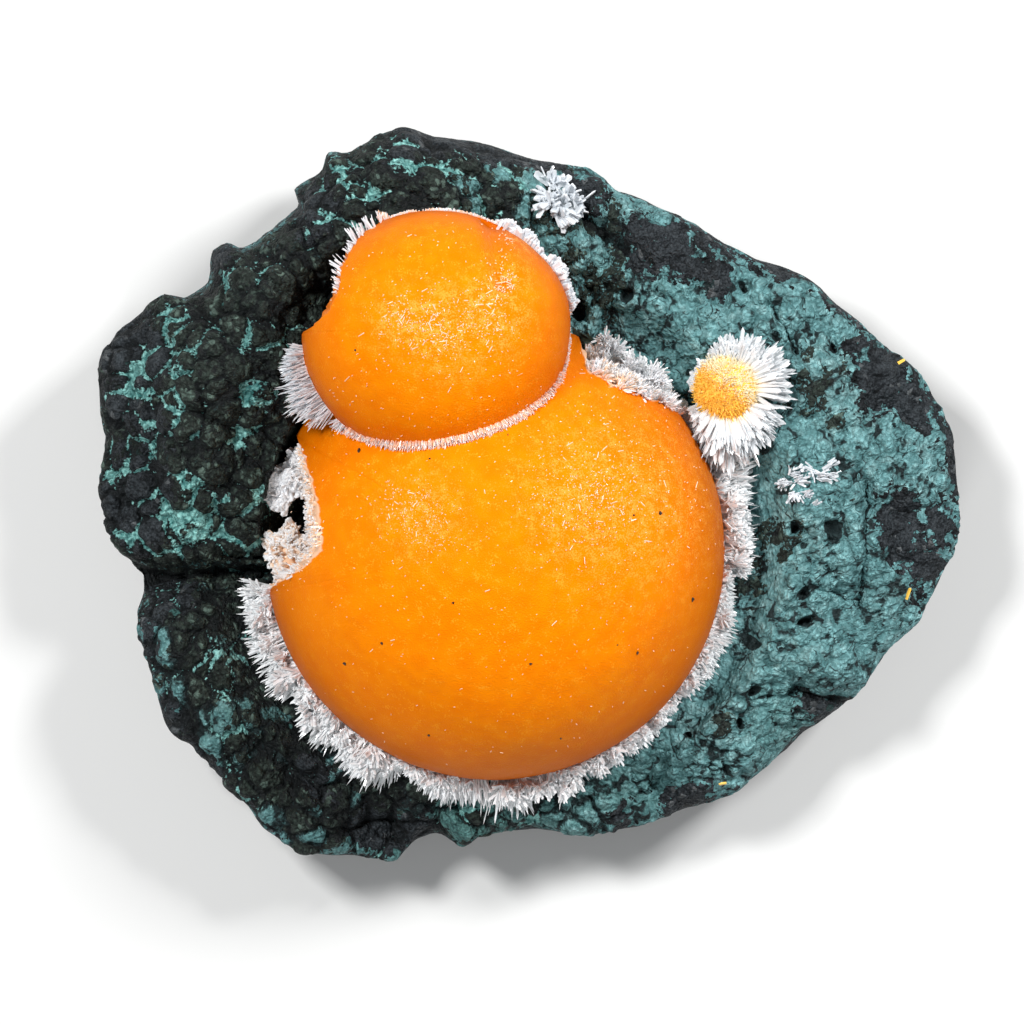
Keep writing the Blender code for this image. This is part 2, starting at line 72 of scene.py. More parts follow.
# Mounds and hollows (middle x and y, reach, rise), clefts (both ends, half width, depth), small pits (x, y,
# radius, depth) and seats of crystal groups (middle x and y, reach, level).
MOUNDS = (
    (-9.0, 32.0, 8.0, 8.6), (-18.0, 25.0, 8.0, 8.4), (-25.0, 12.0, 9.5, 6.0), (-22.0, 18.0, 7.0, 2.6),
    (3.0, 30.5, 7.0, 4.0), (-24.0, -11.0, 7.0, 1.6), (27.0, 9.0, 12.0, 2.6), (29.5, -10.5, 4.0, 2.4),
    (15.0, 27.0, 5.0, 1.6), (-9.6, -24.6, 4.2, -4.6), (13.8, -20.6, 2.6, -3.6), (31.0, -6.0, 2.6, -1.6),
    (8.0, 22.5, 4.5, -2.0), (-15.2, 22.2, 2.6, -3.2),
)
CLEFTS = (
    (-32.5, -2.4, -20.5, -2.0, 1.5, 5.6), (32.4, 5.6, 31.9, -5.0, 0.45, 1.6),
    (26.6, -11.9, 31.5, -13.4, 1.1, 3.0), (7.6, 28.8, 11.5, 26.2, 1.2, 1.8),
    (27.0, -3.0, 32.0, -4.6, 0.5, 1.0), (24.0, 21.5, 26.5, 17.0, 0.35, 0.8),
)
PITS = (
    (21.8, 23.0, 0.5, 1.0), (26.5, 2.0, 0.8, 1.6), (29.6, 1.7, 0.9, 1.3), (26.8, -3.7, 0.6, 1.2),
    (27.0, -6.4, 0.7, 1.4), (22.3, -7.9, 0.8, 1.4), (21.5, -15.2, 0.5, 1.1), (7.2, 21.3, 1.0, 2.0),
    (11.8, 22.4, 0.8, 1.2), (29.8, 17.5, 0.5, 1.0), (24.6, 18.4, 0.5, 0.9), (34.9, 11.0, 0.4, 0.8),
    (22.6, -12.4, 0.5, 1.0), (17.0, -16.4, 0.5, 1.0), (31.4, 14.6, 0.4, 0.8), (20.4, -19.2, 0.4, 0.8),
)
SEATS = ((20.3, 14.3, 5.4, 14.0), (5.65, 30.9, 2.6, 16.4), (27.8, 6.4, 2.0, 15.2))

# Where the crust has come off and bare basalt shows: middle x and y, half length, half width and turn.
BARE = (
    (-5.7, 36.0, 4.6, 1.7, -12), (-8.2, 34.4, 1.8, 2.2, 10), (0.6, 34.4, 7.0, 1.2, -10),
    (7.6, 31.6, 2.2, 1.4, -40), (13.9, 26.6, 3.2, 2.2, 0), (16.8, 24.8, 2.0, 1.4, -40),
    (19.4, 23.4, 1.1, 1.7, 10), (19.2, 26.9, 3.4, 0.9, -30), (24.4, 24.6, 3.2, 0.7, -24),
    (30.0, 21.6, 3.0, 0.7, -42), (33.6, 14.6, 2.2, 3.0, 20), (31.4, 18.3, 1.3, 0.7, 0),
    (36.4, 13.0, 2.4, 1.5, -50), (40.0, 8.6, 0.9, 3.8, 8), (35.2, 1.2, 1.9, 3.6, 12),
    (37.2, -1.6, 1.6, 3.0, 10), (38.9, 2.6, 1.2, 2.0, -10), (28.7, -13.6, 2.7, 1.3, -20),
    (17.2, -21.6, 3.4, 1.5, 14), (11.1, -23.7, 0.9, 1.2, 0), (-9.2, -24.6, 4.6, 2.2, -4),
    (-16.0, -19.6, 1.6, 2.4, 10), (-30.2, -7.6, 1.0, 3.8, 0), (-28.2, -14.2, 1.0, 2.4, 30),
    (-25.6, -18.2, 2.6, 1.2, -48), (-21.2, -23.4, 2.8, 0.9, -52), (-28.6, -4.2, 2.4, 1.4, 0),
    (-31.4, 17.4, 3.6, 3.4, 40), (-32.2, 12.8, 2.0, 2.0, 0), (-29.6, 10.6, 1.5, 2.4, 0),
    (-31.2, 4.6, 3.4, 4.6, 0), (-15.6, 28.8, 1.8, 3.0, -30), (-23.7, 25.0, 1.5, 1.7, 0),
)

# Where lumps are dark olive rather than blue-green: middle x and y, reach and share.
OLIVE = (
    (-26.0, 9.0, 15.0, 2.0), (-16.0, 26.0, 10.0, 1.2), (-4.0, 33.0, 9.0, 0.7), (-21.0, -12.0, 9.0, 0.35),
    (-16.0, -22.0, 6.0, 0.4), (9.8, 22.6, 2.6, 1.2), (27.6, 14.4, 2.4, 1.0), (22.6, -2.2, 2.2, 0.8),
    (24.2, 1.1, 1.7, 0.8), (19.8, -15.4, 1.0, 1.0), (30.5, 4.4, 0.9, 1.0), (-8.7, -21.0, 2.2, 1.1),
    (6.0, 28.0, 4.0, 0.7), (-1.0, -24.0, 4.0, 0.5), (16.0, 11.0, 1.8, 0.9),
)
# Bright turquoise fillings: middle x and y, half length, half width and turn.
TURQUOISE = (
    (-27.7, 19.0, 1.0, 1.5, 20), (-30.9, 15.4, 2.6, 0.8, 42), (-31.6, 14.2, 1.4, 0.9, -30),
    (-30.9, 10.3, 0.7, 1.6, 10), (-31.1, 5.7, 0.6, 1.3, 0), (-27.6, 12.4, 0.45, 1.7, -14),
    (-27.0, 5.7, 1.2, 1.2, 0), (-31.7, 0.9, 1.2, 0.8, 0), (-20.4, 18.4, 1.7, 0.4, -10),
    (-20.6, 13.6, 0.9, 0.9, 40), (-23.7, 4.3, 3.2, 0.6, 6), (-23.5, 1.3, 3.0, 0.6, -15),
    (-23.5, -0.9, 0.8, 1.2, 0), (-22.5, 23.5, 1.2, 0.8, 40), (-19.2, 27.6, 1.5, 0.5, 58),
    (-25.0, 17.4, 1.0, 0.5, 50), (-12.0, 31.5, 1.6, 0.6, -30), (-6.0, 33.0, 2.2, 0.5, -14),
    (1.0, 32.4, 2.0, 0.5, -30), (-22.0, 10.0, 1.0, 0.5, 20),
)

# Where the blue-green is painted duller and darker, as shade, most at the lower left and the bottom: middle x
# and y, reach and share.
DULL_SHADE = (
    (-20.0, -14.0, 11.0, 0.4), (-2.0, -25.0, 9.0, 0.75), (-4.0, 31.0, 9.0, 0.35), (12.0, -21.0, 5.0, 0.25),
    (-27.0, 6.0, 12.0, 0.5), (26.0, -15.0, 4.0, 0.3), (12.0, 25.0, 4.0, 0.2),
)
# Sizes and heights of what moves the smooth form, and rows of the rock's net from the top down
LUMP_SIZE, LUMP_RISE, CHIP_SIZE, CHIP_DEPTH, CRUST = 5.2, 1.7, 9.0, 2.2, 0.26
NODULE_SIZE, BEAD_SIZE, SCALLOP_SIZE, NICK_SIZE = 2.5, 1.25, 4.4, 1.9
ROCK_COLUMNS, DISH_ROWS, BAND_ROWS, BROW_ROWS, SIDE_ROWS, BASE_ROWS = 840, 4, 66, 22, 20, 5


def scattered(cell, channel):
    """A repeatable number from 0 to 1 for each whole-numbered cell: its digits multiplied and mixed."""
    mixed = cell.astype(np.int64).astype(np.uint32)
    hashed = mixed[..., 0] * np.uint32(374761393) + mixed[..., 1] * np.uint32(668265263)
    hashed = hashed + mixed[..., 2] * np.uint32(2246822519) + np.uint32(3266489917 * (channel + 1) % 2**32)
    hashed = (hashed ^ (hashed >> np.uint32(15))) * np.uint32(2246822519)
    hashed = (hashed ^ (hashed >> np.uint32(13))) * np.uint32(3266489917)
    return (hashed ^ (hashed >> np.uint32(16))) / 2.0**32


def lumps(points, size, channel):
    """For scattered lump centres, one in each cube of the size: distance to the nearest and to the second
    nearest in cubes, and a number from 0 to 1 that belongs to the nearest."""
    scaled = points / size
    first = np.full(points.shape[:-1], 9.0)
    second, own = first.copy(), first.copy()
    for step in np.ndindex(3, 3, 3):
        cell = np.floor(scaled) + np.array(step) - 1
        centre = cell + np.stack([scattered(cell, channel + axis) for axis in range(3)], axis=-1)
        distance = np.linalg.norm(centre - scaled, axis=-1)
        second = np.minimum(second, np.maximum(first, distance))
        own = np.where(distance < first, scattered(cell, channel + 7), own)
        first = np.minimum(first, distance)
    return first, second, own


def swell(points, size, channel, layers=1):
    """Smooth noise from -1 to 1: corner values of a cubic net blended by a smooth step, in halving layers."""
    total, weight = 0.0, 0.0
    for layer in range(layers):
        scaled = points / size * 2**layer
        home = np.floor(scaled)
        step = scaled - home
        step = step * step * (3 - 2 * step)
        value = 0.0
        for corner in np.ndindex(2, 2, 2):
            share = np.prod(np.where(np.array(corner) == 1, step, 1 - step), axis=-1)
            value = value + share * scattered(home + np.array(corner), channel + 13 * layer)
        total = total + (2 * value - 1) * 0.5**layer
        weight += 0.5**layer
    return total / weight


def smooth_step(value, low, high):
    """Rises from 0 at low to 1 at high with level ends."""
    t = np.clip((value - low) / (high - low), 0, 1)
    return t * t * (3 - 2 * t)


def rim_radius(angle):
    """Distance of the outline from the origin at each angle: a closed cubic curve through RIM.

    It never swings past the points of RIM, because each slope is the harmonic mean of those beside it, or
    level between unlike ones.
    """
    corners = np.array(RIM)
    corner_angle = np.unwrap(np.arctan2(corners[:, 1], corners[:, 0]))
    turn = 2 * math.pi
    knots = np.concatenate([corner_angle - turn, corner_angle, corner_angle + turn])
    values = np.tile(np.hypot(corners[:, 0], corners[:, 1]), 3)
    steep = np.diff(values) / np.diff(knots)
    same_way = steep[1:] * steep[:-1] > 0
    total = np.where(same_way, steep[1:] + steep[:-1], 1.0)
    slopes = np.concatenate([[0.0], np.where(same_way, 2 * steep[1:] * steep[:-1] / total, 0.0), [0.0]])
    angle = np.mod(angle - corner_angle[0], turn) + corner_angle[0]
    left = np.searchsorted(knots, angle, side="right") - 1
    span = knots[left + 1] - knots[left]
    t = (angle - knots[left]) / span
    return (
        values[left] * (1 + 2 * t) * (1 - t) ** 2
        + slopes[left] * span * t * (1 - t) ** 2
        + values[left + 1] * t**2 * (3 - 2 * t)
        + slopes[left + 1] * span * t**2 * (t - 1)
    )


def to_segment(x, y, x0, y0, x1, y1):
    """Distance in plan from each point to a straight line between two ends."""
    along = np.clip(((x - x0) * (x1 - x0) + (y - y0) * (y1 - y0)) / ((x1 - x0) ** 2 + (y1 - y0) ** 2), 0, 1)
    return np.hypot(x - x0 - along * (x1 - x0), y - y0 - along * (y1 - y0))


def bells(x, y, table):
    """Sum of bell-shaped rises, e to the minus square of distance over reach."""
    return sum(rise * np.exp(-((x - a) ** 2 + (y - b) ** 2) / reach**2) for a, b, reach, rise in table)


def crystal_side(x, y):
    """Height of the rock's crystal side: a ledge, plus bell-shaped mounds, less bell-sectioned clefts."""
    height = LEDGE + bells(x, y, MOUNDS)
    for x0, y0, x1, y1, half_width, depth in CLEFTS:
        height -= depth * np.exp(-((to_segment(x, y, x0, y0, x1, y1) / half_width) ** 2))
    return height


def highest_rock(x, y):
    """Highest level that the rock may reach, so that it lies under the domes, the skirt and the seats."""
    limit = np.full(x.shape, 1e3)
    domes = ((LARGE_CENTRE, (LARGE_RADIUS, LARGE_RADIUS, LARGE_FOOT)), (SMALL_CENTRE, SMALL_RADII))
    for centre, radii in domes:
        out = np.hypot((x - centre[0]) / (radii[0] + 0.5), (y - centre[1]) / (radii[1] + 0.5))
        limit = np.where(out < 1, centre[2] - radii[2] * np.sqrt(np.clip(1 - out**2, 0, 1)), limit)
    angle = np.degrees(np.arctan2(y, x))
    skirted = (angle < SKIRT_END + 3) | (angle > 360 + SKIRT_START - 3)
    out = np.hypot(x, y)
    shelf = SKIRT_UNDERSIDE + np.clip(out - SHELF_EDGE, 0, None) * 1.3
    limit = np.where(skirted & (out > LARGE_RADIUS - 1), np.minimum(limit, shelf), limit)
    for middle_x, middle_y, reach, level in SEATS:
        beyond = np.clip(np.hypot(x - middle_x, y - middle_y) - reach, 0, None)
        limit = np.minimum(limit, level + beyond * 1.6)
    return limit - 0.2


def rock_form(azimuth, polar):
    """Smooth form of the rock over a ball's angles.

    The crystal side runs out to the outline and rolls over to the waist by powers of the polar angle's sine
    and cosine. From there the rock draws in by a quarter circle to its foot, and below that it is flat.
    """
    radius = rim_radius(azimuth)
    steady = np.mean([rim_radius(azimuth + math.radians(turn)) for turn in range(-16, 17, 4)], axis=0)
    radius = radius + (steady - radius) * np.clip((polar - math.radians(80)) / math.radians(45), 0, 1)
    waist = WAIST + WAIST_SWELL * np.sin(2 * azimuth + 0.9) + 1.4 * np.cos(azimuth - 1.8)
    over = np.clip(polar, 0, math.pi / 2)
    tuck = np.clip(polar - math.pi / 2, 0, math.pi / 4) * 2
    share = np.where(
        polar > math.pi / 2, FOOT_SHARE + (1 - FOOT_SHARE) * np.cos(tuck), np.sin(over) ** 0.5
    )
    flat = np.clip((math.pi - polar) / (math.pi / 4), 0, 1)
    share = np.where(polar > 0.75 * math.pi, FOOT_SHARE * flat, share)
    x, y = share * radius * np.cos(azimuth), share * radius * np.sin(azimuth)
    top = waist + (crystal_side(x, y) - waist) * np.cos(over) ** BROW_POWER
    return np.stack([x, y, np.where(polar > math.pi / 2, waist * (1 - np.sin(tuck)), top)], axis=-1)


def in_patches(x, y, table):
    """Rough distance in millimetres inside the nearest edge of the turned ellipses, negative outside them."""
    inside = np.full(x.shape, -9.0)
    for middle_x, middle_y, half_length, half_width, turn in table:
        across, up = math.cos(math.radians(turn)), math.sin(math.radians(turn))
        u = ((x - middle_x) * across + (y - middle_y) * up) / half_length
        v = ((y - middle_y) * across - (x - middle_x) * up) / half_width
        inside = np.maximum(inside, (1 - np.hypot(u, v)) * min(half_length, half_width))
    return inside


def grid_normals(points):
    """Unit normals of a net of points that closes round its second direction."""
    down = np.gradient(points, axis=0)
    along = np.roll(points, -1, axis=1) - np.roll(points, 1, axis=1)
    normal = np.cross(down, along)
    return normal / np.maximum(np.linalg.norm(normal, axis=-1, keepdims=True), 1e-9)


def closed_net(rows, columns):
    """Triangles of rows of points that close round, with the top and bottom pole as the two last points."""
    index = np.arange(rows * columns).reshape(rows, columns)
    right = np.roll(index, -1, axis=1)
    a, b, c, d = index[:-1], right[:-1], right[1:], index[1:]
    sides = np.concatenate([np.stack([a, d, c], -1).reshape(-1, 3), np.stack([a, c, b], -1).reshape(-1, 3)])
    top = np.stack([np.full(columns, rows * columns), index[0], right[0]], -1)
    bottom = np.stack([np.full(columns, rows * columns + 1), right[-1], index[-1]], -1)
    return np.concatenate([sides, top, bottom])


def piece(name, points, triangles, material, smooth=True, **attributes):
    """A mesh from points in millimetres and triangles, with a number at each point for every attribute."""
    mesh = bpy.data.meshes.new(name)
    mesh.vertices.add(len(points))
    mesh.vertices.foreach_set("co", (points * MM).astype(np.float32).ravel())
    mesh.loops.add(triangles.size)
    mesh.loops.foreach_set("vertex_index", triangles.astype(np.int32).ravel())
    mesh.polygons.add(len(triangles))
    mesh.polygons.foreach_set("loop_start", np.arange(0, triangles.size, 3, dtype=np.int32))
    mesh.polygons.foreach_set("use_smooth", np.full(len(triangles), smooth))
    for label, values in attributes.items():
        layer = mesh.attributes.new(label, "FLOAT", "POINT")
        layer.data.foreach_set("value", np.broadcast_to(values, len(points)).astype(np.float32))
    mesh.update(calc_edges=True)
    mesh.materials.append(material)
    made = bpy.data.objects.new(name, mesh)
    bpy.context.scene.collection.objects.link(made)
    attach(made, "root")
    return made


def add_node(tree, kind, inputs=None, **settings):
    """Adds a shader node. Inputs gives each socket a value, or another node's output to be linked to."""
    made = tree.nodes.new(kind)
    for name, value in settings.items():
        setattr(made, name, value)
    for socket, value in (inputs or {}).items():
        if isinstance(value, bpy.types.NodeSocket):
            tree.links.new(value, made.inputs[socket])
        else:
            made.inputs[socket].default_value = value
    return made


def mix_colour(tree, share, first, second):
    """First where share is 0, second where it is 1."""
    first = first if isinstance(first, bpy.types.NodeSocket) else (*first, 1.0)
    second = second if isinstance(second, bpy.types.NodeSocket) else (*second, 1.0)
    mixed = add_node(tree, "ShaderNodeMix", {0: share, 6: first, 7: second}, data_type="RGBA")
    return mixed.outputs[2]


def ramp(tree, value, low, high):
    """Rises smoothly from 0 at low to 1 at high."""
    made = add_node(tree, "ShaderNodeMapRange", {"Value": value}, interpolation_type="SMOOTHSTEP")
    made.inputs["From Min"].default_value = low
    made.inputs["From Max"].default_value = high
    return made.outputs[0]


def arithmetic(tree, operation, first, second):
    """A shader sum of two numbers or outputs, as plus, minus, times and higher give it for short."""
    return add_node(tree, "ShaderNodeMath", {0: first, 1: second}, operation=operation).outputs[0]


def plus(tree, first, second):
    """First plus second."""
    return arithmetic(tree, "ADD", first, second)


def minus(tree, first, second):
    """First minus second."""
    return arithmetic(tree, "SUBTRACT", first, second)


def times(tree, first, second):
    """First times second."""
    return arithmetic(tree, "MULTIPLY", first, second)


def higher(tree, first, second):
    """The higher of the two."""
    return arithmetic(tree, "MAXIMUM", first, second)


def attribute(tree, label):
    """The number that the mesh holds under a label."""
    return add_node(tree, "ShaderNodeAttribute", attribute_name=label).outputs["Fac"]


def new_material(name):
    """A material with nodes: gives it, its tree, its main shader and its object coordinates."""
    made = bpy.data.materials.new(name)
    made.use_nodes = True
    tree = made.node_tree
    where = add_node(tree, "ShaderNodeTexCoord").outputs["Object"]
    return made, tree, tree.nodes["Principled BSDF"], where


def mineral_grain():
    """Node group: coarse and fine grain of a crystalline surface at a stated grain size in millimetres.

    Tone wanders slowly and finely between 0 and 1. Height is rounded grains with pores between them.
    """
    group = bpy.data.node_groups.new("mineral grain", "ShaderNodeTree")
    group.interface.new_socket("Where", in_out="INPUT", socket_type="NodeSocketVector")
    group.interface.new_socket("Grain", in_out="INPUT", socket_type="NodeSocketFloat")
    for label in ("Tone", "Height"):
        group.interface.new_socket(label, in_out="OUTPUT", socket_type="NodeSocketFloat")
    given = group.nodes.new("NodeGroupInput").outputs
    result = group.nodes.new("NodeGroupOutput")
    scale = arithmetic(group, "DIVIDE", 1000.0, given["Grain"])
    slow = times(group, scale, 0.16)
    settings = {"Vector": given["Where"], "Scale": slow, "Detail": 3.0, "Roughness": 0.6}
    coarse = add_node(group, "ShaderNodeTexNoise", settings)
    fine = add_node(group, "ShaderNodeTexNoise", {"Vector": given["Where"], "Scale": scale, "Detail": 1.0})
    bent = add_node(group, "ShaderNodeVectorMath", {0: fine.outputs["Color"]}, operation="SCALE")
    group.links.new(arithmetic(group, "DIVIDE", 0.7, scale), bent.inputs["Scale"])
    moved = add_node(group, "ShaderNodeVectorMath", {0: given["Where"], 1: bent.outputs[0]}, operation="ADD")
    grains = add_node(group, "ShaderNodeTexVoronoi", {"Vector": moved.outputs[0], "Scale": scale})
    tone = plus(group, coarse.outputs["Fac"], fine.outputs["Fac"])
    tone = times(group, tone, 0.5)
    group.links.new(ramp(group, tone, 0.34, 0.66), result.inputs["Tone"])
    height = minus(group, 1.0, grains.outputs["Distance"])
    height = plus(group, height, fine.outputs["Fac"])
    group.links.new(height, result.inputs["Height"])
    return group


GRAIN = mineral_grain()


def grain(tree, where, size):
    """Tone and height of grains of a size in millimetres."""
    return add_node(tree, "ShaderNodeGroup", {"Where": where, "Grain": size}, node_tree=GRAIN).outputs


def rock_material():
    """Basalt with its crust.

    The mesh says where: bare is millimetres inside bare basalt, seam millimetres from the nearest crevice,
    olive the share of dark lumps, vein the turquoise filling, deep the painted shade in pits and clefts,
    dull_shade the painted shade that makes the blue-green duller and darker, and high how far a lump stands
    out, so that the gaps between lumps are painted dark as shade.
    """
    made, tree, shader, where = new_material("basalt and celadonite")
    crust, stone, sand = grain(tree, where, 0.3), grain(tree, where, 0.2), grain(tree, where, 0.9)
    wander = minus(tree, crust["Tone"], 0.5)
    uneven = minus(tree, sand["Tone"], 0.5)
    ragged = plus(tree, attribute(tree, "bare"), times(tree, wander, 0.7))
    flecked = minus(tree, stone["Tone"], 0.5)
    ragged = plus(tree, ragged, times(tree, flecked, 0.3))
    bare = ramp(tree, plus(tree, ragged, times(tree, uneven, 1.3)), -0.05, 0.05)
    covered = minus(tree, 1.0, bare)

    bend = add_node(tree, "ShaderNodeTexNoise", {"Vector": where, "Scale": 1000.0, "Detail": 1.0})
    bend = {0: bend.outputs["Color"], "Scale": 0.0008}
    bend = add_node(tree, "ShaderNodeVectorMath", bend, operation="SCALE")
    bent = add_node(tree, "ShaderNodeVectorMath", {0: where, 1: bend.outputs[0]}, operation="ADD").outputs[0]
    beads = add_node(tree, "ShaderNodeTexVoronoi", {"Vector": bent, "Scale": 1900.0})
    own = add_node(tree, "ShaderNodeSeparateColor", {0: beads.outputs["Color"]}).outputs
    rise = minus(tree, 1.0, ramp(tree, beads.outputs["Distance"], 0.1, 0.8))
    flakes = {"Vector": bent, "Scale": 720.0}
    scales = add_node(tree, "ShaderNodeTexVoronoi", flakes)
    heads = minus(tree, 1.0, ramp(tree, scales.outputs["Distance"], 0.1, 0.85))
    edges = add_node(tree, "ShaderNodeTexVoronoi", flakes, feature="DISTANCE_TO_EDGE")
    open_here = add_node(tree, "ShaderNodeTexNoise", {"Vector": where, "Scale": 800.0, "Detail": 1.0})
    open_here = open_here.outputs["Fac"]
    # Painted shade: thin dark cracks on the crust, and dark holes (gap) where its flakes meet.
    crack_shade = minus(tree, 1.0, ramp(tree, edges.outputs["Distance"], 0.01, 0.07))
    crack_shade = times(tree, crack_shade, ramp(tree, open_here, 0.53, 0.65))
    gap = times(tree, ramp(tree, scales.outputs["Distance"], 0.7, 0.8), ramp(tree, open_here, 0.4, 0.5))
    crack_shade = times(tree, higher(tree, crack_shade, gap), covered)

    teal = mix_colour(tree, crust["Tone"], (0.155, 0.36, 0.375), (0.335, 0.66, 0.68))
    teal = mix_colour(tree, ramp(tree, sand["Tone"], 0.45, 1.0), teal, (0.37, 0.65, 0.66))
    teal = mix_colour(tree, times(tree, own[0], 0.45), teal, (0.055, 0.16, 0.165))
    # Painted shade: the blue-green is darkened between beads (low) and in the valleys between flakes.
    low = minus(tree, 1.0, ramp(tree, rise, 0.05, 0.6))
    teal = mix_colour(tree, times(tree, low, 0.5), teal, (0.03, 0.1, 0.105))
    valley = times(tree, minus(tree, 1.0, heads), 0.45)
    teal = mix_colour(tree, valley, teal, (0.03, 0.1, 0.105))
    # Painted shade: the blue-green is duller and darker where dull_shade is high.
    dull_shade = mix_colour(tree, crust["Tone"], (0.02, 0.065, 0.06), (0.1, 0.25, 0.22))
    teal = mix_colour(tree, attribute(tree, "dull_shade"), teal, dull_shade)
    moss = mix_colour(tree, crust["Tone"], (0.005, 0.008, 0.007), (0.038, 0.056, 0.046))
    moss = mix_colour(tree, ramp(tree, own[1], 0.82, 0.9), moss, (0.1, 0.15, 0.125))
    # Painted shade: the dark lumps are darkened between beads.
    moss = mix_colour(tree, times(tree, low, 0.6), moss, (0.003, 0.004, 0.003))
    basalt = mix_colour(tree, stone["Tone"], (0.004, 0.006, 0.008), (0.04, 0.049, 0.056))
    basalt = mix_colour(tree, ramp(tree, own[1], 0.94, 0.99), basalt, (0.1, 0.11, 0.115))
    # Painted shadow: bare basalt is darkened along the crust's edge.
    crust_edge_shadow = minus(tree, 1.0, ramp(tree, ragged, 0.0, 0.28))
    basalt = mix_colour(tree, times(tree, crust_edge_shadow, 0.75), basalt, (0.003, 0.004, 0.005))

    olive = plus(tree, attribute(tree, "olive"), times(tree, wander, 0.9))
    colour = mix_colour(tree, ramp(tree, olive, 0.4, 0.6), teal, moss)
    colour = mix_colour(tree, bare, colour, basalt)

    # Painted shade: near black in the gaps between lumps, in pits and clefts, and in the cracks.
    painted_gap_shade = plus(tree, attribute(tree, "high"), times(tree, wander, 0.4))
    painted_gap_shade = minus(tree, 1.0, ramp(tree, painted_gap_shade, 0.1, 0.6))
    deep = plus(tree, attribute(tree, "deep"), times(tree, wander, 0.5))
    shaded = higher(tree, painted_gap_shade, ramp(tree, deep, 0.35, 0.55))
    shaded = higher(tree, shaded, crack_shade)
    colour = mix_colour(tree, times(tree, shaded, 0.93), colour, (0.004, 0.006, 0.007))

    filled = minus(tree, times(tree, attribute(tree, "vein"), 0.3), 0.06)
    filled = minus(tree, filled, attribute(tree, "seam"))
    filled = plus(tree, filled, times(tree, wander, 0.12))
    filled = plus(tree, filled, times(tree, flecked, 0.06))
    filled = ramp(tree, filled, -0.03, 0.03)
    turquoise = mix_colour(tree, crust["Tone"], (0.04, 0.2, 0.19), (0.36, 0.74, 0.69))
    # Painted shade: the turquoise is darkened between beads.
    turquoise = mix_colour(tree, times(tree, low, 0.6), turquoise, (0.02, 0.1, 0.1))
    colour = mix_colour(tree, filled, colour, turquoise)

    # Pores in the stone, painted dark inside as shade, a few with a blue-green lining.
    bubbles = add_node(tree, "ShaderNodeTexVoronoi", {"Vector": bent, "Scale": 400.0})
    random = add_node(tree, "ShaderNodeSeparateColor", {0: bubbles.outputs["Color"]}).outputs
    radius = times(tree, random[0], 0.2)
    radius = minus(tree, radius, times(tree, covered, 0.075))
    hole = minus(tree, bubbles.outputs["Distance"], radius)
    hole = minus(tree, 1.0, ramp(tree, hole, -0.02, 0.02))
    pore_shade_and_lining = mix_colour(tree, ramp(tree, random[1], 0.6, 0.65), (0.004, 0.006, 0.006), (0.05, 0.14, 0.13))
    colour = mix_colour(tree, times(tree, hole, 0.9), colour, pore_shade_and_lining)
    tree.links.new(colour, shader.inputs["Base Color"])

    shader.inputs["Specular IOR Level"].default_value = 0.28
    rough = minus(tree, 0.86, times(tree, stone["Tone"], 0.22))
    tree.links.new(rough, shader.inputs["Roughness"])
    parts = (
        (crust["Height"], 0.18), (stone["Height"], 0.1), (covered, 0.3), (rise, 0.28), (heads, 0.55),
        (hole, -0.4),
    )
    height = 0.0
    for part, depth in parts:
        height = plus(tree, height, times(tree, part, depth))
    bump = add_node(tree, "ShaderNodeBump", {"Height": height, "Strength": 0.9, "Distance": 0.001})
    tree.links.new(bump.outputs[0], shader.inputs["Normal"])
    return made


def rock_rows(azimuth):
    """Polar angle of each row: few under the domes, even ones over the crystal side out to the brow, then
    even steps down the brow, round the side and across the base."""
    start = (18.4 + 8.0 * np.exp(-(((azimuth - 1.83) / 0.42) ** 2))) / rim_radius(azimuth)
    under = start * np.linspace(0.25, 1, DISH_ROWS + 1)[:-1, None]
    band = start + (BROW_SHARE - start) * np.linspace(0, 1, BAND_ROWS)[:, None]
    brow = np.arccos((BROW_RISE * np.linspace(1, 0, BROW_ROWS + 1)[1:]) ** (1 / BROW_POWER))
    side = np.radians(np.linspace(90, 135, SIDE_ROWS + 1)[1:])
    base = np.radians(np.linspace(135, 180, BASE_ROWS + 2)[1:-1])
    lower = np.concatenate([brow, side, base])[:, None] * np.ones_like(azimuth)
    return np.concatenate([np.arcsin(np.concatenate([under, band]) ** 2), lower])


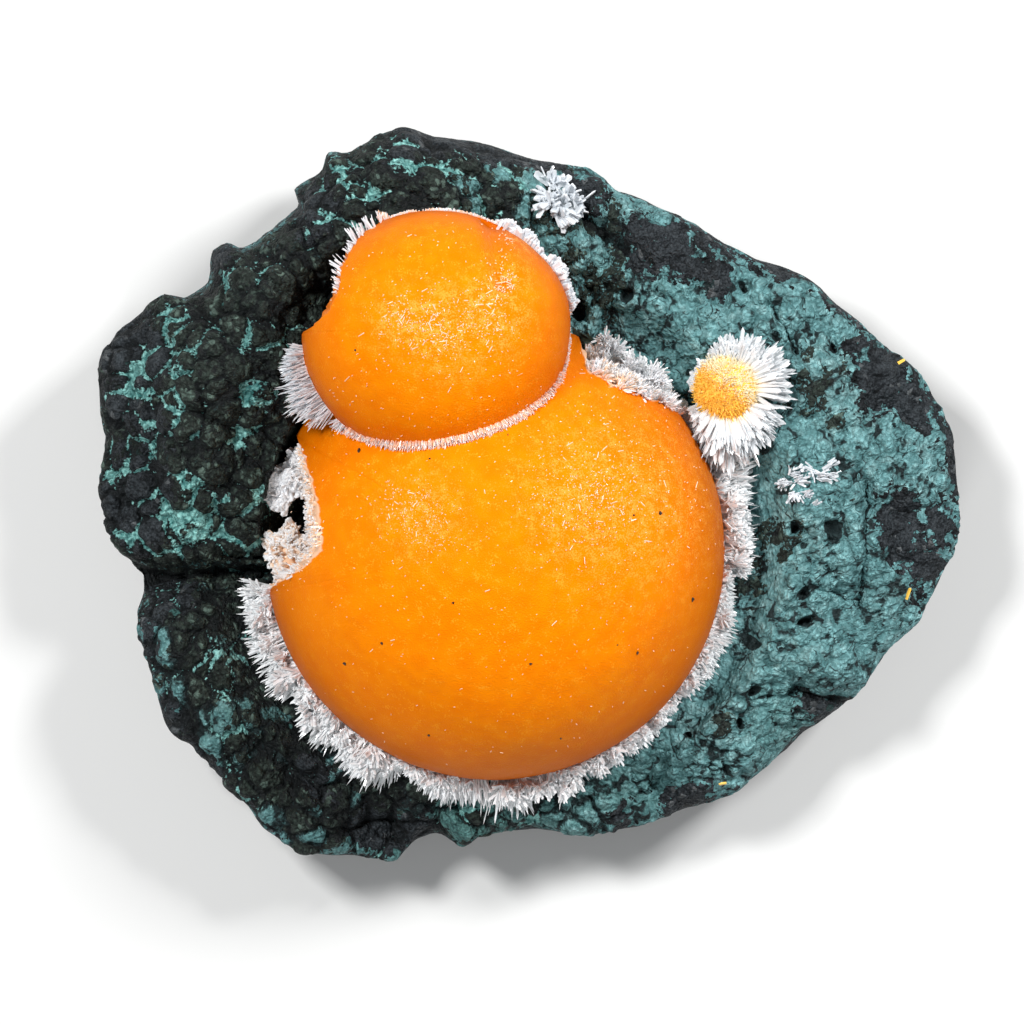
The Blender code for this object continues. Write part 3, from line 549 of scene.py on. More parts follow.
def make_rock():
    """The rock's form, moved along its normals by lumps, nodules, scallops, crust and pits."""
    azimuth = np.linspace(0, 2 * math.pi, ROCK_COLUMNS, endpoint=False)
    polar = rock_rows(azimuth)
    azimuth = azimuth + 0 * polar
    form = rock_form(azimuth, polar)
    normal = grid_normals(form)
    x, y = form[..., 0], form[..., 1]
    up = smooth_step(normal[..., 2], -0.1, 0.5)
    level_part = np.sqrt(np.clip(1 - normal[..., 2] ** 2, 0, 1))
    straight_out = np.stack([level_part * np.cos(azimuth), level_part * np.sin(azimuth), normal[..., 2]], -1)
    normal += (straight_out - normal) * smooth_step(polar, 1.0, 1.35)[..., None]

    warp = np.stack([swell(form, 2.4, 101, 3), swell(form, 2.4, 211, 3)], axis=-1)
    bare = in_patches(x + 1.2 * warp[..., 0], y + 1.2 * warp[..., 1], BARE)
    bare = np.maximum(bare, 2.0 * (0.4 - up) + 0.6 * warp[..., 0])
    knobbly = 1 - 0.85 * smooth_step(x + 2.5 * warp[..., 1] + 0.15 * y, 3.0, 9.0)
    share, dull_shade = bells(x, y, OLIVE), bells(x, y, DULL_SHADE)
    crusted = smooth_step(-bare, -0.12, 0.12)

    broad, _, _ = lumps(form, LUMP_SIZE, channel=11)
    chip, _, _ = lumps(form, CHIP_SIZE, channel=31)
    rough = form + 0.4 * np.stack([swell(form, 0.9, 301 + k, 2) for k in range(3)], axis=-1)
    first, second, own = lumps(rough, NODULE_SIZE, channel=51)
    little, little_second, little_own = lumps(rough, BEAD_SIZE, channel=71)
    scallop, _, _ = lumps(rough, SCALLOP_SIZE, channel=91)
    nick, _, _ = lumps(rough, NICK_SIZE, channel=95)

    move = LUMP_RISE * (np.clip(1 - broad**2, 0, 1) - 0.55) * up
    off_flat_spot = smooth_step(np.hypot(x, y), FLAT_SPOT, FLAT_SPOT + 8)
    move += CHIP_DEPTH * (0.45 - chip) * (1 - up) * off_flat_spot
    broken = np.maximum(1 - crusted, 1 - up) * off_flat_spot
    move += broken * (1 - knobbly * up) * (0.9 * (scallop**2 - 0.3) + 0.45 * (nick**2 - 0.3))
    nodule = np.sqrt(np.clip(1 - (first / 0.84) ** 2, 0, 1))
    bead = np.sqrt(np.clip(1 - (little / 0.86) ** 2, 0, 1))
    chunk, grit = smooth_step(second - first, 0, 0.3), smooth_step(little_second - little, 0, 0.26)
    present = smooth_step(swell(form, 1.8, 601, 2), 0.05, 0.3)
    move += up * (0.5 + 0.9 * knobbly) * (0.6 * nodule + 0.4 * chunk - 0.6)
    move += up * (0.25 + 0.55 * crusted * (1 - 0.4 * knobbly)) * (0.6 * bead + 0.4 * grit - 0.6)
    move += up * (1 - knobbly) * np.clip(share, 0, 1) * 0.8 * (bead - 0.4)
    move += 0.1 * swell(form, 0.8, 401, 3) + CRUST * crusted * up
    move *= 1 - 0.5 * np.exp(-(((polar - math.pi / 2) / 0.3) ** 2))
    # high and deep are masks for painted shade: high is low in the gaps between lumps, deep is high in pits
    # and clefts.
    flat_part = (1 - present * (1 - grit)) * (0.75 + 0.25 * chunk)
    high = knobbly * chunk * (0.6 + 0.4 * grit) + (1 - knobbly) * flat_part
    high += (0.7 - high) * np.maximum(1 - up, 0.7 * (1 - crusted) * (1 - knobbly))
    deep = np.zeros(x.shape)
    for pit_x, pit_y, radius, depth in PITS:
        out = np.hypot(x - pit_x + 0.9 * warp[..., 1], y - pit_y + 0.9 * warp[..., 0]) / (0.8 * radius)
        move -= depth * smooth_step(1.35 - out, 0, 0.7) * up
        deep = np.maximum(deep, smooth_step(1.25 - out, 0, 0.5) * up)
    for x0, y0, x1, y1, half_width, _ in CLEFTS:
        out = to_segment(x + 0.5 * warp[..., 0], y + 0.5 * warp[..., 1], x0, y0, x1, y1) / half_width
        deep = np.maximum(deep, 0.8 * smooth_step(0.75 - out, 0, 0.5) * up)

    points = form + normal * move[..., None] * (0.6, 0.6, 1.0)
    lowered = np.minimum(points[..., 2], highest_rock(points[..., 0], points[..., 1]))
    points[..., 2] = np.maximum(np.where(up > 0.02, lowered, points[..., 2]), 0.0)
    between = np.clip(second - first, 0, 1) * 1.25 + 1.2 * (1 - knobbly * up)
    seam = np.minimum(between, np.clip(little_second - little, 0, 1) * 0.7 + 0.22 * knobbly + 0.6 * (1 - up))
    olive = np.where((own < share) & (knobbly > 0.5), 1.0, np.where(little_own < 0.75 * share, 0.8, 0.0)) * up
    vein = np.clip(0.6 + 0.6 * in_patches(x + 1.2 * warp[..., 1], y + 1.2 * warp[..., 0], TURQUOISE), 0, 1)
    wild = smooth_step(swell(form, 4.0, 501, 2), 0.05, 0.4) * knobbly
    vein = np.maximum(vein, 0.6 * wild) * smooth_step(up, 0.3, 0.8)
    fields = {"bare": bare, "seam": seam, "olive": olive, "vein": vein, "deep": deep, "high": high}
    fields["dull_shade"] = np.clip(dull_shade, 0, 1)

    poles = np.array([[0, 0, points[0, :, 2].mean()], [0, 0, 0.0]])
    rock = piece(
        "basalt_and_crust",
        np.concatenate([points.reshape(-1, 3), poles]),
        closed_net(*x.shape),
        rock_material(),
        **{label: np.concatenate([field.ravel(), [0.0, 0.0]]) for label, field in fields.items()},
    )
    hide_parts("basalt_matrix")
    return points[: DISH_ROWS + BAND_ROWS + BROW_ROWS].reshape(-1, 3)


CRYSTAL_SIDE_POINTS = make_rock()


def rock_level(x, y):
    """Level of the finished rock's crystal side at each place in plan: that of its nearest point."""
    away = np.hypot(CRYSTAL_SIDE_POINTS[:, 0] - x[:, None], CRYSTAL_SIDE_POINTS[:, 1] - y[:, None])
    return CRYSTAL_SIDE_POINTS[away.argmin(axis=1), 2]


# The orange domes
#
# Each is a ball of thomsonite needles that radiate from one point, so tightly that their orange ends make a
# velvety skin. The large one fills the dish of the rock, and the smaller one grew over its upper edge.

# Where a skin stops short of its full outline: angle about the dome's middle, and share of the outline.
LARGE_EDGE = (
    (36, 1.0), (41, 0.965), (48, 0.92), (56, 0.88), (63, 0.865), (65, 0.92), (69, 1.0), (150, 1.0),
    (151, 0.975), (157, 0.875), (164, 0.8), (170, 0.765), (180, 0.74), (186, 0.855), (190.5, 1.0),
)
SMALL_EDGE = (
    (113, 1.0), (124, 0.96), (137, 0.895), (144, 0.85), (157, 0.78), (169, 0.8), (176, 0.9), (180, 1.0),
)
# Dust grains on the skins, in the photo's pixels
MM_PER_PIXEL, MIDDLE_PIXEL = 0.087, (495.0, 550.0)
SPECKS = (
    (360, 355), (362, 452), (432, 460), (508, 437), (330, 708), (430, 732), (348, 661), (631, 515),
    (657, 513), (690, 598), (615, 642), (635, 650), (560, 735), (455, 600), (530, 660), (385, 640),
)
# Patches of painted highlight, where lighter orange and pale needle ends stand for the lamps' glints on the
# skins: middle x and y, reach and number of ends.
HIGHLIGHT_PATCHES = (
    (-6.1, 3.0, 2.0, 420), (7.6, 4.8, 2.9, 380), (12.5, 4.0, 4.2, 170), (-8.2, 19.6, 1.4, 130),
    (-5.0, 18.6, 1.8, 170), (0.4, 19.8, 1.5, 180), (-2.0, 18.8, 2.2, 100), (1.0, 22.8, 0.9, 120),
    (2.4, 26.4, 0.9, 160),
)


def velvet_material():
    """Orange needle ends: painted shade as deeper orange low on a dome, painted highlight as lighter orange
    in the highlight patches, peach where its wall shows.
    """
    made, tree, shader, where = new_material("orange velvet of needle ends")
    ends, patch = grain(tree, where, 0.14), grain(tree, where, 1.6)
    colour = mix_colour(tree, patch["Tone"], (0.93, 0.215, 0.0005), (0.98, 0.26, 0.001))
    colour = mix_colour(tree, ramp(tree, ends["Tone"], 0.8, 1.0), colour, (1.0, 0.33, 0.012))
    # Painted shade: the skin turns deeper orange-brown lower down the dome, where rise is low.
    low = times(tree, minus(tree, 1.0, attribute(tree, "rise")), 0.9)
    colour = mix_colour(tree, low, colour, (0.5, 0.085, 0.0))
    # Painted highlight: lighter orange in the highlight patches.
    frost = times(tree, attribute(tree, "frost"), ramp(tree, ends["Tone"], 0.35, 0.9))
    colour = mix_colour(tree, times(tree, frost, 0.6), colour, (1.0, 0.42, 0.07))
    pale = plus(tree, attribute(tree, "pale"), times(tree, ends["Tone"], 0.25))
    colour = mix_colour(tree, ramp(tree, pale, 0.25, 1.0), colour, (0.9, 0.56, 0.36))
    tree.links.new(colour, shader.inputs["Base Color"])
    shader.inputs["Roughness"].default_value = 0.48
    shader.inputs["IOR"].default_value = 1.14
    shader.inputs["Specular Tint"].default_value = (1.0, 0.55, 0.2, 1.0)
    bump = add_node(tree, "ShaderNodeBump", {"Height": ends["Height"], "Strength": 0.5, "Distance": 0.00006})
    tree.links.new(bump.outputs[0], shader.inputs["Normal"])
    return made


def skin_share(degrees, edge):
    """Share of a dome's full outline that its skin reaches at each angle, ragged where it is worn."""
    angle, reach = np.array(edge).T
    worn = np.interp(degrees, angle, reach, left=1, right=1)
    nicks = 0.018 * swell(np.stack([degrees, 0 * degrees, 0 * degrees], -1), 1.8, 631, 3)
    return np.clip(worn + nicks * (worn < 0.995), 0, 1)


def small_swell(x, y):
    """A low lobe on the right of the smaller dome, marked off by a shallow valley."""
    lobe = 0.6 * np.exp(-((x - 3.4) ** 2 + (y - 21.6) ** 2) / 3.4**2)
    valley = 0.55 * np.exp(-((to_segment(x, y, -0.4, 29.0, 0.9, 22.6) / 0.9) ** 2))
    dimple = 0.35 * np.exp(-((x - 1.0) ** 2 + (y - 22.8) ** 2) / 0.9**2)
    return lobe - valley - dimple


def make_dome(name, centre, radii, low, edge, columns, rows, fibrous, extra=None):
    """A skin over an ellipsoid, a fibrous wall below its edge and a bowl under that.

    Rows run from the top to the skin's edge, down to the middle level, sloping out a little where the skin is
    worn back, and in under along an ellipse that is low millimetres deep.
    """
    skin_rows, wall_rows, bowl_rows = rows
    azimuth = np.linspace(0, 2 * math.pi, columns, endpoint=False)
    share = skin_share(np.degrees(azimuth), edge)
    polar = np.linspace(0, 1, skin_rows + 1)[1:, None] * np.arcsin(share)
    drop = np.linspace(0, 1, wall_rows + 1)[1:, None]
    under = np.linspace(0, math.radians(80), bowl_rows + 1)[1:, None]
    foot_share = share + 0.25 * (1 - share)
    wall = share + (foot_share - share) * drop**0.7
    out = np.concatenate([np.sin(polar), wall, foot_share * np.cos(under)])
    edge_level = centre[2] + radii[2] * np.cos(polar[-1])
    level = np.concatenate(
        [
            centre[2] + radii[2] * np.cos(polar),
            edge_level + (centre[2] - edge_level) * drop,
            centre[2] - low * np.sin(under) * np.ones_like(azimuth),
        ]
    )
    x, y = centre[0] + radii[0] * out * np.cos(azimuth), centre[1] + radii[1] * out * np.sin(azimuth)
    points = np.stack([x, y, level], -1)
    normal = grid_normals(points)
    on_skin = np.concatenate([np.ones(skin_rows), 0 * drop[:, 0], 0 * under[:, 0]])[:, None]
    worn = 1 - smooth_step(share, 0.9, 0.995)
    fibres = swell(points * np.array([1.0, 1.0, 0.2]), 0.6, 621, 2)
    move = on_skin * (0.09 * swell(points, 5.0, 601, 2) + 0.03 * swell(points, 1.1, 611, 2))
    if extra is not None:
        move = move + on_skin * extra(x, y)
    move = move + (1 - on_skin) * fibres * (0.12 + 0.3 * worn)
    points = points + normal * move[..., None]
    near_edge = smooth_step(np.linspace(0, 1, skin_rows), 0.965, 1.0)
    pale = np.concatenate([near_edge, np.ones(wall_rows + bowl_rows)])[:, None]
    pale = pale * (0.12 + (fibrous - 0.12) * worn)
    below = np.concatenate([np.zeros(skin_rows + wall_rows), np.linspace(0.4, 0.95, bowl_rows)])
    pale = np.maximum(pale, below[:, None])
    poles = np.array([[*centre[:2], points[0, :, 2].mean()], [*centre[:2], centre[2] - low]])
    # Painted light and shade: rise is 1 high on a dome and falls to 0 low down, where the skin is painted
    # darker.
    painted_light_by_height = smooth_step(points[..., 2] - centre[2], -0.15 * radii[2], 0.85 * radii[2])
    frost = sum(np.exp(-np.hypot(x - a, y - b) ** 2 / (1.6 * reach) ** 2) for a, b, reach, _ in HIGHLIGHT_PATCHES)
    made = piece(
        name,
        np.concatenate([points.reshape(-1, 3), poles]),
        closed_net(*points.shape[:2]),
        ORANGE,
        pale=np.concatenate([pale.ravel(), [0, 0]]),
        rise=np.concatenate([painted_light_by_height.ravel(), [1, 0]]),
        frost=np.concatenate([np.clip(frost, 0, 1).ravel(), [0, 0]]),
    )
    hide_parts("orange_twin_ball")


def dome_level(x, y, centre, radii, extra=None):
    """Level of a dome's skin, and far below everything outside the dome."""
    inside = 1 - ((x - centre[0]) / radii[0]) ** 2 - ((y - centre[1]) / radii[1]) ** 2
    level = centre[2] + radii[2] * np.sqrt(np.clip(inside, 0, 1))
    if extra is not None:
        level = level + extra(x, y) * np.sqrt(np.clip(inside, 0, 1))
    return np.where(inside > 0, level, -1e3)


def needles(name, foot, tip, width, flatness, twist, material, **attributes):
    """Slender four-sided crystals from foot to tip, each with a wedge-shaped end.

    Each has a ring of corners at its foot and one at nine tenths of its length, spaced across its axis by its
    width and by flatness times its width and turned by twist, and one end corner.
    """
    axis = tip - foot
    axis_unit = axis / np.linalg.norm(axis, axis=1, keepdims=True)
    side = np.cross(axis_unit, [0.02, 0.01, 1.0])
    side /= np.linalg.norm(side, axis=1, keepdims=True)
    other = np.cross(side, axis_unit)
    c, s = np.cos(twist)[:, None], np.sin(twist)[:, None]
    side, other = side * c + other * s, other * c - side * s
    across = (width / 2)[:, None] * side
    thick = (width * flatness / 2)[:, None] * other
    corners = [across + thick, thick - across, -across - thick, across - thick]
    ring = [foot + corner for corner in corners] + [foot + 0.9 * axis + 0.86 * corner for corner in corners]
    points = np.stack([*ring, tip + 0.3 * across], axis=1)
    turns = [(k, (k + 1) % 4) for k in range(4)]
    sides = [(k, after, 4 + after) for k, after in turns] + [(k, 4 + after, 4 + k) for k, after in turns]
    ends = [(4 + k, 4 + after, 8) for k, after in turns] + [(0, 2, 1), (0, 3, 2)]
    count = len(foot)
    triangles = (np.array(sides + ends)[None, :, ::-1] + 9 * np.arange(count)[:, None, None]).reshape(-1, 3)
    along = np.tile([0.0] * 4 + [0.9] * 4 + [1.0], count)
    spread = {label: np.repeat(np.broadcast_to(values, count), 9) for label, values in attributes.items()}
    return piece(name, points.reshape(-1, 3), triangles, material, smooth=False, along=along, **spread)


def needle_colour():
    """Node group: root colour at a needle's foot, and body colour beyond the point that its stain sets.

    Chance makes each needle a little lighter or darker than the next, and there are paler streaks.
    """
    group = bpy.data.node_groups.new("needle colour", "ShaderNodeTree")
    kinds = {"Root": "Color", "Body": "Color", "Where": "Vector"}
    kinds.update({"Along": "Float", "Chance": "Float", "Stain": "Float"})
    for label, kind in kinds.items():
        group.interface.new_socket(label, in_out="INPUT", socket_type="NodeSocket" + kind)
    group.interface.new_socket("Colour", in_out="OUTPUT", socket_type="NodeSocketColor")
    given = group.nodes.new("NodeGroupInput").outputs
    result = group.nodes.new("NodeGroupOutput")
    darker = mix_colour(group, 0.12, given["Body"], (0.0, 0.0, 0.0))
    shade = mix_colour(group, given["Chance"], darker, given["Body"])
    streaked = times(group, grain(group, given["Where"], 0.3)["Tone"], 0.35)
    shade = mix_colour(group, streaked, shade, (0.95, 0.96, 0.98))
    clean = ramp(group, minus(group, given["Along"], given["Stain"]), -0.15, 0.35)
    group.links.new(mix_colour(group, clean, given["Root"], shade), result.inputs["Colour"])
    return group


NEEDLE_COLOUR = needle_colour()


def crystal_material(name, root, body, roughness=0.2):
    """Glassy needles of a root and a body colour."""
    made, tree, shader, where = new_material(name)
    inputs = {"Root": (*root, 1.0), "Body": (*body, 1.0), "Where": where}
    inputs.update({label.capitalize(): attribute(tree, label) for label in ("along", "chance", "stain")})
    tinted = add_node(tree, "ShaderNodeGroup", inputs, node_tree=NEEDLE_COLOUR)
    tree.links.new(tinted.outputs["Colour"], shader.inputs["Base Color"])
    shader.inputs["Roughness"].default_value = roughness
    shader.inputs["Specular IOR Level"].default_value = 0.6
    return made


ORANGE = velvet_material()
LARGE_RADII = (LARGE_RADIUS, LARGE_RADIUS, LARGE_RISE)
make_dome("large_dome", LARGE_CENTRE, LARGE_RADII, LARGE_FOOT, LARGE_EDGE, 540, (124, 16, 6), 1.0)
make_dome("smaller_dome", SMALL_CENTRE, SMALL_RADII, 7.0, SMALL_EDGE, 380, (100, 12, 12), 0.2, small_swell)


def skin_level(x, y):
    """Level of the higher of the two skins."""
    large = dome_level(x, y, LARGE_CENTRE, LARGE_RADII)
    return np.maximum(large, dome_level(x, y, SMALL_CENTRE, SMALL_RADII, small_swell))


def make_glints():
    """Pale needle ends on the skins that stand in for glints: a thin even scatter, and the painted highlight
    patches.
    """
    random = np.random.default_rng(11)
    patches = HIGHLIGHT_PATCHES + ((11.0, 11.0, 4.0, 90), (-2.0, 23.0, 4.0, 60))
    spots = [random.normal(0, 1, (count, 2)) * reach * (1, 0.8) + (x, y) for x, y, reach, count in patches]
    everywhere = random.uniform(-1, 1, (520, 2)) * 20
    spots.append(everywhere[np.hypot(everywhere[:, 0], everywhere[:, 1]) < 19.2])
    spots.append(random.uniform(-1, 1, (140, 2)) * 9.4 + SMALL_CENTRE[:2])
    spots = np.concatenate(spots)
    spots = spots[skin_level(spots[:, 0], spots[:, 1]) > 14]
    count = len(spots)
    bearing = random.normal(0.4, 0.9, count)
    long_one = random.uniform(0, 1, count) < 0.05
    length = np.where(long_one, random.uniform(0.3, 0.7, count), random.uniform(0.06, 0.18, count))
    half = 0.5 * length[:, None] * np.stack([np.cos(bearing), np.sin(bearing)], -1)
    first, second = spots - half, spots + half
    foot = np.column_stack([first, skin_level(*first.T) - 0.02])
    tip = np.column_stack([second, skin_level(*second.T) + random.uniform(0.0, 0.1, count)])
    keep = (foot[:, 2] > 13) & (tip[:, 2] > 13) & (np.abs(foot[:, 2] - tip[:, 2]) < length + 0.2)
    width = np.where(long_one, 0.075, 0.06)[keep]
    glints = needles(
        "glints_on_the_domes", foot[keep], tip[keep], width, 0.8, random.uniform(0, 3, keep.sum()), GLINT,
        chance=random.uniform(0.3, 1, keep.sum()), stain=-1.0,
    )
    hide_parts("orange_twin_ball")


def make_specks():
    """Black dust grains on the skins: small eight-sided lumps, with their middles at the skin."""
    place = (np.array(SPECKS) - MIDDLE_PIXEL) * (MM_PER_PIXEL, -MM_PER_PIXEL)
    middle = np.column_stack([place, skin_level(*place.T)])
    random = np.random.default_rng(12)
    size = random.uniform(0.1, 0.24, (len(middle), 1, 1))
    corners = np.array([(1, 0, 0), (0, 1, 0), (-1, 0, 0), (0, -1, 0), (0, 0, 1), (0, 0, -1.0)])
    points = middle[:, None] + size * corners * random.uniform(0.7, 1.3, (len(middle), 6, 1))
    faces = [(k, (k + 1) % 4, 4) for k in range(4)] + [((k + 1) % 4, k, 5) for k in range(4)]
    triangles = (np.array(faces)[None] + 6 * np.arange(len(middle))[:, None, None]).reshape(-1, 3)
    dark, tree, shader, where = new_material("black dust")
    shade = mix_colour(tree, grain(tree, where, 0.1)["Tone"], (0.01, 0.007, 0.005), (0.05, 0.03, 0.02))
    tree.links.new(shade, shader.inputs["Base Color"])
    specks = piece("dust_specks", points.reshape(-1, 3), triangles, dark, smooth=False)
    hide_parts("orange_twin_ball")


# Painted glints: pale needle ends, gathered where the lamps' highlights fall on the skins.
GLINT = crystal_material("needle ends that catch the light", (0.9, 0.6, 0.35), (1.0, 0.7, 0.42), 0.3)
make_glints()
make_specks()

# The white skirt of the large dome
#
# Where the growth stopped taking up the orange stain, its needles are white and glassy. They stand out from
# under the skin in bunches and lie on the rock; at the upper right they stand on the worn edge of the dome.

# How far the skirt reaches from the dome's middle: angle and radius
SKIRT_REACHES = (
    (-170, 22.8), (-164, 23.0), (-156, 23.5), (-148, 24.4), (-144, 22.6), (-138, 23.8), (-132, 24.0),
    (-128, 23.1), (-120, 24.2), (-116, 22.5), (-112, 21.2), (-108, 22.4), (-104, 23.4), (-98, 22.7),
    (-92, 23.9), (-84, 23.4), (-80, 22.5), (-76, 22.8), (-72, 24.3), (-68, 21.4), (-64, 22.3), (-60, 21.8),
    (-50, 21.8), (-44, 21.5), (-40, 21.9), (-34, 21.6), (-28, 22.2), (-24, 21.9), (-18, 22.7), (-12, 21.6),
    (-8, 21.2), (-4, 23.3), (8, 23.4), (14, 23.6), (18, 25.2), (28, 25.0), (34, 21.4), (40, 20.8),
    (46, 21.6), (54, 21.2), (62, 20.6),
)
# Tufts on the worn edges: first and last angle, tufts, needles a tuft, length, tilt, stain, and whether they
# grow from the foot of the worn wall instead of on it.
BEDS = (
    (46, 60, 30, 40, 1.9, 44, 0.8, False), (40, 65, 60, 32, 1.7, 30, 0.1, False),
    (152, 189, 260, 8, 0.7, 20, 0.7, False), (186, 192, 6, 14, 1.3, 20, 0.2, False),
    (28, 46, 24, 26, 1.3, 30, 0.0, False), (42, 64, 30, 30, 1.6, 60, -0.3, True),
)
# Radius at which the skirt's needles start, the radius that their length is counted from, and highest tip
SKIRT_FOOT, SKIRT_ROOT, SKIRT_TOP = 19.0, 19.4, 15.0
WHITE = crystal_material("white needles", (0.93, 0.96, 0.99), (0.97, 0.99, 1.0))


def bunched(random, low, high, bunches, count, spread):
    """Needle angles gathered into bunches between two angles: the angles, and those of their bunches."""
    middle = np.sort(random.uniform(low, high, bunches))
    which = random.integers(0, bunches, count)
    return np.clip(middle[which] + random.normal(0, spread, count), low, high), middle[which], which


def towards(bearing, tilt):
    """Unit vectors from a bearing in plan and a tilt above level, both in degrees."""
    bearing, tilt = np.broadcast_arrays(np.radians(bearing), np.radians(tilt))
    return np.stack([np.cos(bearing) * np.cos(tilt), np.sin(bearing) * np.cos(tilt), np.sin(tilt)], -1)


def tufts(random, origin, bearing, tilt, loose, count, length, width):
    """Needles that radiate from each origin about its own direction, the wider the looser the tuft is."""
    which = np.repeat(np.arange(len(origin)), count)
    way = towards(bearing, tilt)[which] + loose * random.normal(0, 1, (len(which), 3))
    way[:, 2] = np.abs(way[:, 2])
    way /= np.linalg.norm(way, axis=1, keepdims=True)
    foot = origin[which] + random.normal(0, 0.14, (len(which), 3))
    size = np.broadcast_to(length, len(origin))[which] * random.uniform(0.6, 1.0, len(which))
    wide = random.uniform(*width, len(which))
    return foot, foot + way * size[:, None], wide, random.uniform(0, 1, len(which))


def make_skirt():
    """Combs of long needles that lie on the rock, and on them loose tufts of shorter, thicker ones."""
    random = np.random.default_rng(7)
    count, bunches = 5600, 72
    angle, middle, which = bunched(random, SKIRT_START, SKIRT_END, bunches, count, 1.6)
    reach_of = random.uniform(0.75, 1.08, bunches)
    layer = random.uniform(0, 1, count)
    full = np.interp(angle, *np.array(SKIRT_REACHES).T) - SKIRT_ROOT
    length = full * reach_of[which] * random.uniform(0.55, 1.04, count) * (1.05 - 0.3 * layer)
    inner = SKIRT_FOOT + random.uniform(0, 0.5, count)
    foot = inner[:, None] * towards(angle, 0) + np.array([0, 0, 1.0]) * (11.4 + 1.4 * layer)[:, None]
    bearing = angle + (angle - middle) * 4 + random.normal(0, 9, count)
    way = towards(bearing, np.clip(8 * layer + random.normal(-3, 7, count), -3, 30))
    tip = foot + way * (length + SKIRT_ROOT - inner)[:, None]
    tip[:, 2] = np.clip(tip[:, 2], SKIRT_UNDERSIDE, SKIRT_TOP)
    combs = (foot, tip, random.uniform(0.08, 0.24, count), layer)

    heads = 230
    turn = random.uniform(SKIRT_START, SKIRT_END - 4, heads)
    full = np.interp(turn, *np.array(SKIRT_REACHES).T) - 19.6
    out = 19.5 + full * random.uniform(0.0, 0.5, heads)
    middle = out[:, None] * towards(turn, 0) + np.array([0, 0, 1.0]) * random.uniform(12.0, 13.4, (heads, 1))
    size = 0.6 + 0.34 * full * random.uniform(0.7, 1.1, heads)
    heap = tufts(random, middle, turn + random.normal(0, 16, heads), 30, 0.42, 34, 0.95 * size, (0.1, 0.34))
    foot, tip, width, layer = (np.concatenate(column) for column in zip(combs, heap))
    skirt = needles(
        "skirt_of_white_needles", foot, tip, width, 0.5, random.uniform(0, 3.1, len(foot)), WHITE,
        chance=random.uniform(0, 1, len(foot)) ** 0.7, stain=random.uniform(-0.3, 0.0, len(foot)),
    )
    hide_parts("ball_skirt")


def make_edge_crystals():
    """White and peach blades on the worn edges of the skin, thick at the upper right and thin at the left."""
    random = np.random.default_rng(8)
    parts = []
    for low, high, heads, count, length, tilt, stain, at_foot in BEDS:
        turn = random.uniform(low, high, heads)
        share = skin_share(turn, LARGE_EDGE)
        edge_level = LARGE_CENTRE[2] + LARGE_RISE * np.sqrt(1 - share**2)
        drop = random.uniform(0, 1, heads)
        level = edge_level - 0.05 - drop * np.minimum(edge_level - 13.5, 12.0)
        out = LARGE_RADIUS * (share + 0.25 * (1 - share) * drop**0.7) - 0.3
        if at_foot:
            out, level = random.uniform(17.6, 20.6, heads), random.uniform(14.0, 17.5, heads)
        origin = out[:, None] * towards(turn, 0) + np.array([0, 0, 1.0]) * level[:, None]
        lean, bearing = tilt + random.normal(0, 12, heads), turn + random.normal(0, 20, heads)
        made = tufts(random, origin, bearing, lean, 0.32, count, length, (0.07, 0.24))
        parts.append((*made, np.repeat(stain - 0.5 * drop, count)))
    foot, tip, width, chance, stain = (np.concatenate(column) for column in zip(*parts))
    edge = needles(
        "crystals_on_the_worn_edge", foot, tip, width, 0.5, random.uniform(0, 3.1, len(foot)), PEACH,
        chance=chance**0.6, stain=stain + random.uniform(-0.3, 0.3, len(foot)),
    )
    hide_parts("ball_skirt")


PEACH = crystal_material("peach needles", (0.98, 0.7, 0.48), (0.94, 0.95, 0.97))
make_skirt()
make_edge_crystals()

# The collar of the smaller dome
#
# White needles come out from under the smaller dome: a silky fan at the left, a thin velvet line where it
# meets the large dome, and clearer blocks and fibres along its upper side, on the rock.

# How far the collar's needles stand out: angle and length. The silky fan ends at FAN_END, the thin line at
# LINE_END and the blocks at BLOCKS_END, and the fibres start at FIBRES_START.
COLLAR_REACHES = (
    (183, 1.0), (194, 3.0), (206, 3.6), (218, 2.8), (228, 1.0), (236, 0.7), (250, 0.8), (330, 0.7),
    (368, 0.45), (374, 1.5), (392, 1.7), (397, 0.7), (402, 1.3), (418, 1.6), (424, 0.5), (470, 0.5),
    (476, 1.6), (486, 2.0), (494, 0.9), (502, 1.6), (512, 1.2), (517, 0.4),
)
FAN_END, LINE_END, BLOCKS_END, FIBRES_START, PROBES = 228, 372, 422, 474, 60


